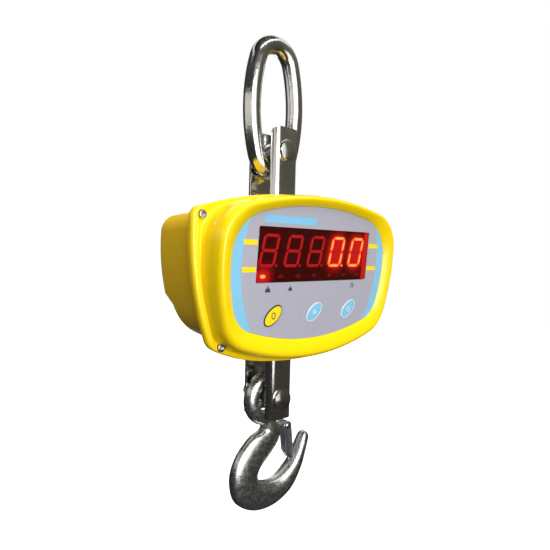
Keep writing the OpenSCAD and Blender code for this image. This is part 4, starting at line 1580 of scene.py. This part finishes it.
@dataclass
class FrontPanel:
    """Printed panel with its window, digits, lamps and keys, in millimetres on the leaning panel."""

    panel: Panel
    glass: Outline
    cut_reach: float = 3.0
    film_thick: float = 0.5
    film_room: float = 0.1
    hole_room: float = 0.4
    hole_corner: float = 1.5

    ink: float = 0.06
    ink_root: float = 0.02
    field_radius: float = 117.0
    field_shift: float = 26.0
    field_middle: float = -14.0
    stripe_size: Three = (15.0, 4.5, 0.3)
    stripe_across: float = 82.6
    stripe_levels: Point = (5.0, -18.3)
    bar_corners: tuple[Point, ...] = ((-71, 22.5), (-8, 22.5), (-4, 29), (-67, 29))
    # Size and place of the two weights, and of the pause bars
    weights: tuple[Three, ...] = ((5.2, -60, -36), (4.2, -33, -36))
    pause: Three = (5.0, 54.0, -35.5)

    window: Point = (148.5, 48.9)
    window_middle: float = -5.5
    window_corner: float = 2.0
    lens_levels: Point = (-2.5, -0.2)
    lens_edge: float = 0.3

    digits: tuple[Lit, ...] = (Lit.NOTHING, Lit.NOTHING, Lit.NOTHING, Lit.NOUGHT_POINT, Lit.NOUGHT)
    middle_digit: int = 2
    digit_height: float = 30.5
    digit_pitch: float = 29.25
    digit_middle: float = -2.0
    digit_face: float = -4.4
    digit_ratio: float = 0.265
    digit_margin: float = 1.8
    slant: float = 10.5
    bar_gap: float = 0.4
    bar_half: float = 1.4
    middle_bar: int = 1
    dot_shift: float = 3.6
    dot_radius: float = 1.3
    bar_bevel: float = 0.5
    core_share: float = 0.45
    # Heights over the digits' face, from a bar's foot to its top
    bar_levels: tuple[float, ...] = (-0.1, 0.25, 0.35, 0.4)
    core_level: float = 0.37
    rim_glow: float = 0.55

    lamp_size: Three = (6.0, 3.0, 1.4)
    lamp_pitch: float = 21.4
    lamp_middle: float = -25.0
    lamps_aside: int = 3
    lamp_peak: float = 1.4
    lamp_fade: float = 4.0
    # Faint glow kept by the unlit lamps: painted glow
    unlit_lamp_painted_glow: float = 0.015
    lamp_core: Point = (2.0, 2.5)

    # The tray's glow is painted light: spill round the lit digits and lamp, a faint base over the whole
    # tray, and a strip along its right wall
    tray_room: float = 0.6
    tray_cells: tuple[int, int] = (150, 50)
    tray_wall: float = 1.8
    wall_width: float = 3.5
    painted_wall_glow: float = 0.9
    tray_base: float = 0.06
    tray_gain: float = 0.82
    tray_fade: float = 6.5

    key_size: Point = (24.0, 14.0)
    key_lean: float = 40.0
    # Offset from the key's oval and height over the panel, from the foot over the rim to the middle
    key_profile: tuple[Point, ...] = (
        (0, -2.5), (0, 0.3), (-0.15, 0.5), (-0.4, 0.6), (-0.8, 0.6), (-1.0, 0.5), (-2, 0.58), (-4, 0.7),
        (-6, 0.74))
    rim_rings: int = 5
    sign_levels: Point = (0.5, 0.8)
    nought_outer: Three = (4.4, 6.4, 2.1)
    nought_inner: Three = (2.8, 4.8, 1.35)
    key_pause: float = 4.4
    key_power: float = 5.4
    keys: tuple[Key, ...] = (
        Key("zero_key", "zero_button", (-51.5, -60), Finishes.DARK_INK, Finishes.YELLOW_INK, Sign.NOUGHT),
        Key("hold_key", "hold_button", (1, -60), Finishes.PALE_INK, Finishes.BLUE_INK, Sign.PAUSE),
        Key("power_key", "power_button", (50.6, -60), Finishes.PALE_INK, Finishes.BLUE_INK, Sign.POWER))

    def flat(self, points: Iterable[Point], out: float) -> Ring:
        """Ring on the panel from points to the right and up."""
        return [self.panel.place(right, up, out) for right, up in points]

    def panel_points(self) -> Points:
        """Outline of the printed film, all the way round."""
        half = [self.glass.point(angle, self.film_room) for angle in range(0, 181, 2)]
        return half + [(-right, up) for right, up in half[-2:0:-1]]

    def oblong(self, width: float, height: float, radius: float) -> Points:
        """Points of a rounded oblong about the middle."""
        return [(point.x / MM, point.y / MM) for point in Shapes.rounded(width, height, radius, 0.0)]

    def shifted(self, points: Iterable[Point], right: float, up: float) -> Points:
        """Points moved on the panel."""
        return [(x + right, y + up) for x, y in points]

    def oval(self, offset: float, place: Point) -> Points:
        """Points of a key's leaning oval.

        Args:
            offset: Distance outwards from the key's edge.
            place: Middle of the key.

        Returns:
            The points.
        """
        long, short = (size / 2 + offset for size in self.key_size)
        lean = radians(self.key_lean)
        made = []
        for step in range(Facets.FULL):
            angle = 2 * pi * step / Facets.FULL
            along, across = long * cos(angle), short * sin(angle)
            right = along * cos(lean) - across * sin(lean)
            made.append((right, along * sin(lean) + across * cos(lean)))
        return self.shifted(made, *place)

    def slab(self, name: str, points: Sequence[Point], back: float, front: float) -> Object:
        """Flat piece on the panel, from its outline and how far out its back and its front lie."""
        return Bench.loft(name, [self.flat(points, back), self.flat(points, front)])

    def hole(self, points: Sequence[Point]) -> Object:
        """Cutter right through whatever lies on the panel."""
        return self.slab("hole", points, -self.cut_reach, self.cut_reach)

    def printed(self, points: Sequence[Point], over: float = 0.0) -> Object:
        """Thin print on the film, or over another print."""
        return self.slab("print", points, -self.ink_root, self.ink + over)

    def film(self) -> Object:
        """Cuts the printed film to the panel, with its window and key holes.

        Returns:
            The film.
        """
        film = self.slab("printed_film", self.panel_points(), -self.film_thick, 0.0)
        window = self.oblong(*(size + self.hole_room for size in self.window), self.hole_corner)
        outlines = [self.shifted(window, 0, self.window_middle)]
        outlines += [self.oval(self.hole_room, key.place) for key in self.keys]
        for points in outlines:
            Bench.cut(film, self.hole(points))
        return Bench.tidy(film)

    def crescent(self, side: int) -> Object:
        """Prints the crescent along one edge of the panel, which a round field cuts off.

        Args:
            side: 1 on the right, -1 on the left.

        Returns:
            The print.
        """
        crescent = self.printed(self.panel_points())
        middle = (-side * self.field_shift, self.field_middle)
        Bench.cut(crescent, self.hole(Shapes.arc(middle, self.field_radius, 0, 357, steps=119)))
        return Bench.tidy(crescent)

    def prints(self) -> None:
        """Prints the crescents, the stripes, a plain bar and small signs."""
        self.lay("edge_crescents", [self.crescent(side) for side in (-1, 1)], Finishes.BLUE_INK)
        stripe = self.oblong(*self.stripe_size)
        places = [(side * self.stripe_across, up) for side in (-1, 1) for up in self.stripe_levels]
        stripes = [self.printed(self.shifted(stripe, *place), self.ink_root) for place in places]
        self.lay("window_stripes", stripes, Finishes.YELLOW_INK)
        self.lay("plain_bar", [self.printed(self.bar_corners)], Finishes.BLUE_INK)
        signs = [(self.weight_sign(size), place) for size, *place in self.weights]
        size, *place = self.pause
        signs.append((self.pause_sign(size), place))
        marks = [self.printed(self.shifted(part, *place)) for parts, place in signs for part in parts]
        self.lay("small_signs", marks, Finishes.DARK_INK)

    def lay(self, name: str, pieces: list[Object], finish: Finish) -> None:
        """Joins printed pieces and fits them to the housing."""
        Crew.fit(finish.lay_on(Bench.join(name, pieces)), HOUSING_BODY)

    def weight_sign(self, size: float) -> list[Points]:
        """Outlines of a plain weight, a tapered block under a knob.

        Args:
            size: Height of the sign.

        Returns:
            The outlines of the block and the knob.
        """
        foot, top, rise = size * 0.62, size * 0.4, size * 0.22
        block = [(-foot, -size / 2), (foot, -size / 2), (top, rise), (-top, rise)]
        knob = self.oblong(size * 0.34, size * 0.3, size * 0.14)
        return [block, self.shifted(knob, 0, size * 0.42)]

    def pause_sign(self, size: float) -> list[Points]:
        """Outlines of two upright bars."""
        bar = self.oblong(size * 0.26, size, size * 0.05)
        return [self.shifted(bar, side * size * 0.28, 0) for side in (-1, 1)]

    def power_sign(self, size: float) -> list[Points]:
        """Outlines of an open ring with an upright bar in its gap.

        Args:
            size: Diameter of the ring.

        Returns:
            The outlines of the ring and the bar.
        """
        outer, inner = (Shapes.arc((0, 0), size * share, 130, 410, steps=24) for share in (0.5, 0.36))
        bar = self.oblong(size * 0.15, size * 0.5, size * 0.05)
        return [outer + inner[::-1], self.shifted(bar, 0, size * 0.3)]

    def nought_sign(self, place: Point) -> Object:
        """Prints an upright nought, a ring round a hole.

        Args:
            place: Middle of the sign.

        Returns:
            The sign.
        """
        outer, inner = (
            self.shifted(self.oblong(*size), *place) for size in (self.nought_outer, self.nought_inner))
        sign = self.slab("nought_sign", outer, *self.sign_levels)
        Bench.cut(sign, self.hole(inner))
        return sign

    def digit_half(self) -> Point:
        """Half the width and half the height between the middles of a digit's outer bars."""
        return self.digit_height * self.digit_ratio, self.digit_height / 2 - self.digit_margin

    def digit_place(self, number: int) -> Point:
        """Middle of a digit on the panel."""
        return (number - self.middle_digit) * self.digit_pitch, self.digit_middle

    def bars(self, lit: Lit) -> list[tuple[Points, bool]]:
        """Bars and point of one digit about its middle.

        Args:
            lit: What the digit shows.

        Returns:
            Outline of each bar with whether it is lit.
        """
        half_w, half_h = self.digit_half()
        gap, thick = self.bar_gap, self.bar_half
        slant = tan(radians(self.slant))
        ends = [((-half_w + gap, up), (half_w - gap, up)) for up in (-half_h, 0, half_h)]
        ends += [((x, up + gap), (x, up + half_h - gap)) for x in (-half_w, half_w) for up in (-half_h, 0)]
        made = []
        for number, (start, end) in enumerate(ends):
            p, q = Vector(start), Vector(end)
            u = (q - p).normalized()
            v = Vector((-u.y, u.x))
            corners = [
                p, p + (u + v) * thick, q + (v - u) * thick, q, q - (u + v) * thick, p + (u - v) * thick]
            bar = [(corner.x + corner.y * slant, corner.y) for corner in corners]
            made.append((bar, lit is not Lit.NOTHING and number != self.middle_bar))
        middle = (half_w + self.dot_shift - half_h * slant, -half_h)
        made.append((Shapes.arc(middle, self.dot_radius, 0, 345, steps=23), lit is Lit.NOUGHT_POINT))
        return made

    def raised(self, points: Points) -> Object:
        """Bar that stands on the digits' face with a bevelled top.

        Args:
            points: Outline of its foot.

        Returns:
            The bar.
        """
        right, up = (sum(values) / len(points) for values in zip(*points))
        far = max(max(abs(x - right), abs(y - up)) for x, y in points)
        outlines = [points, points]
        for share in (1 - self.bar_bevel / far, self.core_share):
            outlines.append([(right + (x - right) * share, up + (y - up) * share) for x, y in points])
        levels = (self.digit_face + level for level in self.bar_levels)
        return Bench.loft("bar", [self.flat(outline, level) for outline, level in zip(outlines, levels)])

    def on_panel(self, place: Vector) -> Three:
        """Right, up and out on the panel for a place in metres."""
        return tuple((self.panel.matrix().inverted() @ place) / MM)

    def bar_glow(self, place: Vector) -> float:
        """Glow of a lit bar: full on the core of its top and less round it."""
        return 1.0 if self.on_panel(place)[2] > self.digit_face + self.core_level else self.rim_glow

    def lit_lamp(self) -> float:
        """Distance to the right of the one lamp that is lit, the first of the row."""
        return -self.lamps_aside * self.lamp_pitch

    def lamp_glow(self, place: Vector) -> float:
        """Glow of the row of lamps, which falls off from the lit lamp; the unlit lamps keep a faint painted
        glow.
        """
        glow = self.lamp_peak - abs(self.on_panel(place)[0] - self.lit_lamp()) / self.lamp_fade
        return min(1.0, max(self.unlit_lamp_painted_glow, glow))

    def display(self) -> None:
        """Builds the digits, the lamps and the tray behind them, with painted glow on the unlit bars, the
        unlit lamps and the tray.
        """
        bright, dim = [], []
        for number, lit in enumerate(self.digits):
            for bar, on in self.bars(lit):
                raised = self.raised(self.shifted(bar, *self.digit_place(number)))
                (bright if on else dim).append(raised)
        lit_bars, unlit_bars_painted_glow = Bench.join("lit_bars", bright), Bench.join("unlit_bars_painted_glow", dim)
        Crew.fit(Finishes.LIT.light(lit_bars, self.bar_glow), HOUSING_BODY, "led_digits")
        # The unlit bars get a dim painted glow
        Crew.fit(Finishes.UNLIT_PAINTED_GLOW.light(unlit_bars_painted_glow, lambda place: self.rim_glow), HOUSING_BODY)
        lamp = self.oblong(*self.lamp_size)
        steps = range(-self.lamps_aside, self.lamps_aside + 1)
        places = [(step * self.lamp_pitch, self.lamp_middle) for step in steps]
        row = Bench.join("lamp_row", [self.raised(self.shifted(lamp, *place)) for place in places])
        Crew.fit(Finishes.LIT.light(row, self.lamp_glow), HOUSING_BODY, "indicator_lamps")
        self.tray()

    def sources(self) -> list[tuple[Vector, Vector, float]]:
        """Sources of the tray's painted glow: a line up the middle of each lit digit, and one along the lit
        lamp.

        Returns:
            Ends of each line, to the right and up, with how far the light stands off it.
        """
        half_w, half_h = self.digit_half()
        along = Vector((tan(radians(self.slant)), 1.0)) * (half_h - half_w)
        made = []
        for number, lit in enumerate(self.digits):
            if lit is not Lit.NOTHING:
                middle = Vector(self.digit_place(number))
                made.append((middle - along, middle + along, half_w))
        half, reach = self.lamp_core
        ends = (Vector((self.lit_lamp() + shift, self.lamp_middle)) for shift in (-half, half))
        return [*made, (*ends, reach)]

    def painted_tray_glow(self, place: Vector) -> float:
        """Painted glow of the tray, as of light spilled round what is lit, and along its right wall.

        Args:
            place: Place on the tray, in metres.

        Returns:
            The glow, from 0 to 1.
        """
        right, up, _ = self.on_panel(place)
        if right > (self.window[0] - self.tray_room) / 2 - self.wall_width:
            return self.painted_wall_glow
        gaps = []
        for first, second, reach in self.sources():
            span, here = second - first, Vector((right, up)) - first
            share = min(max(here.dot(span) / span.length_squared, 0.0), 1.0)
            gaps.append(max(0.0, (here - span * share).length - reach))
        return self.tray_base + self.tray_gain * exp(-((min(gaps) / self.tray_fade) ** 2))

    def tray(self) -> None:
        """Draws the tray behind the window, with a wall round it, and paints its glow."""
        width, height = (size - self.tray_room for size in self.window)
        Bench.clear()
        across, up = self.tray_cells
        bpy.ops.mesh.primitive_grid_add(x_subdivisions=across, y_subdivisions=up, size=1.0)
        tray = Bench.take("display_tray")
        tray.scale = (width * MM, height * MM, 1.0)
        Bench.settle(tray)
        bpy.ops.object.mode_set(mode="EDIT")
        Bench.pick_open(tray)
        bpy.ops.mesh.extrude_region_move(TRANSFORM_OT_translate={"value": (0, 0, self.tray_wall * MM)})
        bpy.ops.object.mode_set(mode="OBJECT")
        tray.matrix_world = self.panel.matrix(0, self.window_middle, self.digit_face)
        Bench.tidy(tray)
        # Painted light spill on the tray
        Crew.fit(Finishes.PAINTED_HALO.light(tray, self.painted_tray_glow), HOUSING_BODY)

    def key_cap(self, key: Key) -> Object:
        """Moulds a key with a rim, a groove and a domed face.

        Args:
            key: The key.

        Returns:
            The cap in its two inks.
        """
        rings = [self.flat(self.oval(offset, key.place), out) for offset, out in self.key_profile]
        cap = key.rim.lay_on(Bench.loft(f"{key.node}_cap", rings))
        cap.data.materials.append(key.face.make())
        turns = [entry.value for entry in cap.data.attributes["turn"].data]
        for polygon in cap.data.polygons:
            polygon.material_index = int(min(turns[index] for index in polygon.vertices) >= self.rim_rings)
        return cap

    def key_sign(self, key: Key) -> Object:
        """Prints a key's sign in the ink of its rim.

        Args:
            key: The key.

        Returns:
            The sign.
        """
        if key.sign is Sign.NOUGHT:
            sign = self.nought_sign(key.place)
        else:
            pause = key.sign is Sign.PAUSE
            parts = self.pause_sign(self.key_pause) if pause else self.power_sign(self.key_power)
            slabs = [self.slab("sign", self.shifted(part, *key.place), *self.sign_levels) for part in parts]
            sign = Bench.join(f"{key.node}_sign", slabs)
        return key.rim.lay_on(Bench.tidy(sign))

    def build(self) -> None:
        """Builds and dresses everything on the panel."""
        Crew.fit(Finishes.FILM.lay_on(self.film()), HOUSING_BODY, "panel_overlay")
        self.prints()
        window = self.oblong(*self.window, self.window_corner)
        lens = self.slab("window_lens", self.shifted(window, 0, self.window_middle), *self.lens_levels)
        Bench.soften(lens, self.lens_edge, segments=2)
        Crew.fit(Finishes.WINDOW.lay_on(Bench.tidy(lens)), HOUSING_BODY, "display_window")
        self.display()
        for key in self.keys:
            Crew.fit(self.key_cap(key), key.body, key.node)
            Crew.fit(self.key_sign(key), key.body)


class Inside:
    """Pieces that are kept as they come and only dressed."""

    FINISHES = {
        "casing_gasket": Finishes.RUBBER, "column_seals": Finishes.RUBBER, "gauge_covers": Finishes.STEEL,
        "battery_pack": Finishes.SLEEVE, "charge_nut": Finishes.STEEL, "panel_plate": Finishes.PLATE,
        "display_board": Finishes.BOARD, "main_board": Finishes.BOARD, "board_posts": Finishes.STEEL,
        "board_spacers": Finishes.STEEL, "key_switches": Finishes.BLACK, "cell_brackets": Finishes.STEEL,
        "bracket_screws": Finishes.STEEL}

    @classmethod
    def dress(cls, nodes: dict[str, Object]) -> None:
        """Gives each kept piece its finish.

        Args:
            nodes: Plain pieces by name.
        """
        for name, finish in cls.FINISHES.items():
            finish.lay_on(nodes[name])
            LOG.info("%s dressed as %s", name, finish.name)


@dataclass
class Studio:
    """Camera, white world, pale floor, soft lamps and the cards that the metal mirrors, in metres."""

    camera_place: Three = (-0.33828, -0.39022, -0.19990)
    forward: Three = (0.66227619, 0.74730724, -0.05405679)
    right: Three = (0.74906244, -0.66203217, 0.02487705)
    lens: float = 32.015
    nearest: float = 0.01
    fill: float = 0.6
    fill_colour: Colour = (1.0, 0.9, 0.75)
    aim: Three = (0.0, 0.0, -0.22)
    floor_size: float = 8.0
    floor_level: float = -0.85
    floor_lift: float = 0.96
    card_steps: int = 16
    card_thick: float = 0.01

    def camera(self) -> Object:
        """Sets the camera where the picture was taken.

        Returns:
            The camera.
        """
        bpy.ops.object.camera_add()
        camera = bpy.context.object
        back, right = -Vector(self.forward), Vector(self.right)
        turn = Matrix((right, back.cross(right), back)).transposed().to_4x4()
        camera.matrix_world = Matrix.Translation(Vector(self.camera_place)) @ turn
        camera.data.lens = self.lens
        camera.data.clip_start = self.nearest
        bpy.context.scene.camera = camera
        return camera

    def seen(self, tree: NodeTree) -> NodeSocket:
        """Value that is 1 for what the camera sees, straight or in metal and glass, and 0 for light.

        Args:
            tree: Nodes of the world or of a material.

        Returns:
            Socket with the value.
        """
        rays = tree.nodes.new("ShaderNodeLightPath")
        value = rays.outputs["Is Camera Ray"]
        for name in ("Is Glossy Ray", "Is Transmission Ray"):
            either = tree.nodes.new("ShaderNodeMath")
            either.operation = "MAXIMUM"
            tree.links.new(value, either.inputs[0])
            tree.links.new(rays.outputs[name], either.inputs[1])
            value = either.outputs["Value"]
        return value

    def world(self) -> None:
        """Shows white behind and in mirrors, and lights the rest with a softer fill."""
        world = bpy.data.worlds.new("studio")
        bpy.context.scene.world = world
        world.use_nodes = True
        tree = world.node_tree
        seen = self.seen(tree)
        level = tree.nodes.new("ShaderNodeMapRange")
        level.inputs["To Min"].default_value = self.fill
        tree.links.new(seen, level.inputs["Value"])
        tint = tree.nodes.new("ShaderNodeMix")
        tint.data_type = "RGBA"
        tint.inputs["A"].default_value = (*self.fill_colour, 1.0)
        tint.inputs["B"].default_value = (1.0, 1.0, 1.0, 1.0)
        tree.links.new(seen, tint.inputs["Factor"])
        background = tree.nodes["Background"]
        Grains.link(tree, (tint, "Result", background, "Color"), (level, "Result", background, "Strength"))

    def floor(self) -> Object:
        """Lays the pale floor, which looks as white as the world but keeps shadows.

        Returns:
            The floor.
        """
        Bench.clear()
        bpy.ops.mesh.primitive_plane_add(size=self.floor_size, location=(0, 0, self.floor_level))
        floor = Finishes.FLOOR.lay_on(Bench.take("floor"))
        Bench.settle(floor)
        tree = floor.data.materials[0].node_tree
        shader = tree.nodes["Principled BSDF"]
        shader.inputs["Emission Color"].default_value = (1.0, 1.0, 1.0, 1.0)
        lift = tree.nodes.new("ShaderNodeMath")
        lift.operation = "MULTIPLY"
        lift.inputs[1].default_value = self.floor_lift
        tree.links.new(self.seen(tree), lift.inputs[0])
        tree.links.new(lift.outputs["Value"], shader.inputs["Emission Strength"])
        return floor

    def lamp(self, name: str, place: Three, size: Point, watts: float, mirrored: bool = True) -> Object:
        """Hangs a soft lamp that faces the scale.

        Args:
            name: Name of the lamp.
            place: Where it hangs.
            size: Width and height.
            watts: Its power.
            mirrored: Whether metal shows it.

        Returns:
            The lamp.
        """
        bpy.ops.object.light_add(type="AREA", location=place)
        lamp = bpy.context.object
        lamp.name = name
        lamp.data.shape = "RECTANGLE"
        lamp.data.size, lamp.data.size_y = size
        lamp.data.energy = watts
        lamp.visible_glossy = mirrored
        lamp.rotation_euler = (Vector(self.aim) - Vector(place)).to_track_quat("-Z", "Y").to_euler()
        return lamp

    def card(self, name: str, turns: Point, heights: Point, reach: float, finish: Finish,
             dims: bool = True) -> Object:
        """Bends a card round the scale, out of the camera's sight.

        Args:
            name: Name of the card.
            turns: Start and end round the scale, in degrees from straight in front to the right.
            heights: Lower and upper edge.
            reach: Distance from the column.
            finish: Its finish.
            dims: Whether it takes light away too, or is only mirrored.

        Returns:
            The card.
        """
        start, end = turns
        steps = range(self.card_steps + 1)
        spread = [radians(start + (end - start) * step / self.card_steps) for step in steps]
        arc = [(reach, turn) for turn in spread]
        arc += [(reach + self.card_thick, turn) for turn in reversed(spread)]
        rings = [
            [Vector((far * sin(turn), -far * cos(turn), height)) for far, turn in arc]
            for height in heights]
        card = finish.lay_on(Bench.loft(name, rings))
        card.visible_camera = False
        card.visible_shadow = dims
        card.visible_diffuse = dims
        return card

    def flat_card(self, name: str, place: Three, reach: float, dims: bool = False) -> Object:
        """Lays a dark round card over or under the scale, which casts no shadow.

        Args:
            name: Name of the card.
            place: Its middle.
            reach: Its radius.
            dims: Whether it takes soft light away too, or is only mirrored.

        Returns:
            The card.
        """
        profile = [(reach * share / MM, 0) for share in (1.0, 0.9, 0.1)]
        rings = Shapes.turned(profile, Facets.LARGE, Matrix.Translation(place))
        card = Finishes.FLAG.lay_on(Bench.loft(name, rings))
        card.visible_camera = False
        card.visible_shadow = False
        card.visible_diffuse = dims
        return card

    def build(self) -> None:
        """Sets up the studio."""
        self.world()
        bpy.context.scene.view_settings.view_transform = "Standard"
        pieces = [
            self.camera(), self.floor(),
            self.lamp("front_softbox", (-0.45, -1.3, 0.0), (1.0, 1.1), 17.5),
            self.lamp("top_softbox", (0.1, -0.5, 1.1), (1.2, 0.9), 16),
            self.lamp("back_softbox", (0.4, 1.3, 0.4), (1.0, 1.0), 15, mirrored=False),
            self.card("left_high_flag", (-36, -200), (0.45, 1.2), 1.3, Finishes.FLAG, dims=False),
            self.card("left_flag", (-36, -138), (-0.06, 0.45), 1.3, Finishes.PALE_FLAG, dims=False),
            self.card("left_back_flag", (-138, -200), (-0.06, 0.45), 1.3, Finishes.FLAG),
            self.card("left_low_flag", (-36, -200), (-0.8, -0.06), 1.3, Finishes.FLAG),
            self.card("right_flag", (18, 140), (-0.8, 0.7), 0.9, Finishes.SIDE_FLAG),
            self.card("front_low_flag", (-42, 18), (-0.8, -0.56), 0.95, Finishes.FLAG),
            self.card("front_high_flag", (-42, 18), (0.45, 1.3), 0.95, Finishes.FLAG, dims=False),
            self.flat_card("low_flag", (0, 0, self.floor_level + 0.1), 0.95, dims=True),
            self.flat_card("low_wide_flag", (0, 0, self.floor_level + 0.08), 1.35),
            self.flat_card("high_flag", (-0.2, -0.3, 1.0), 0.9)]


def main() -> None:
    """Loads the frame, builds the scale and sets up the studio."""
    logging.basicConfig(level=logging.INFO, format="%(message)s")
    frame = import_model()
    Bench.clear()
    panel = Panel()
    housing = Housing(panel)
    housing.build()
    Suspension().build()
    SwivelHook().build()
    FrontPanel(panel, housing.glass).build()
    Inside.dress(frame["nodes"])
    Studio().build()


if __name__ == "__main__":
    main()
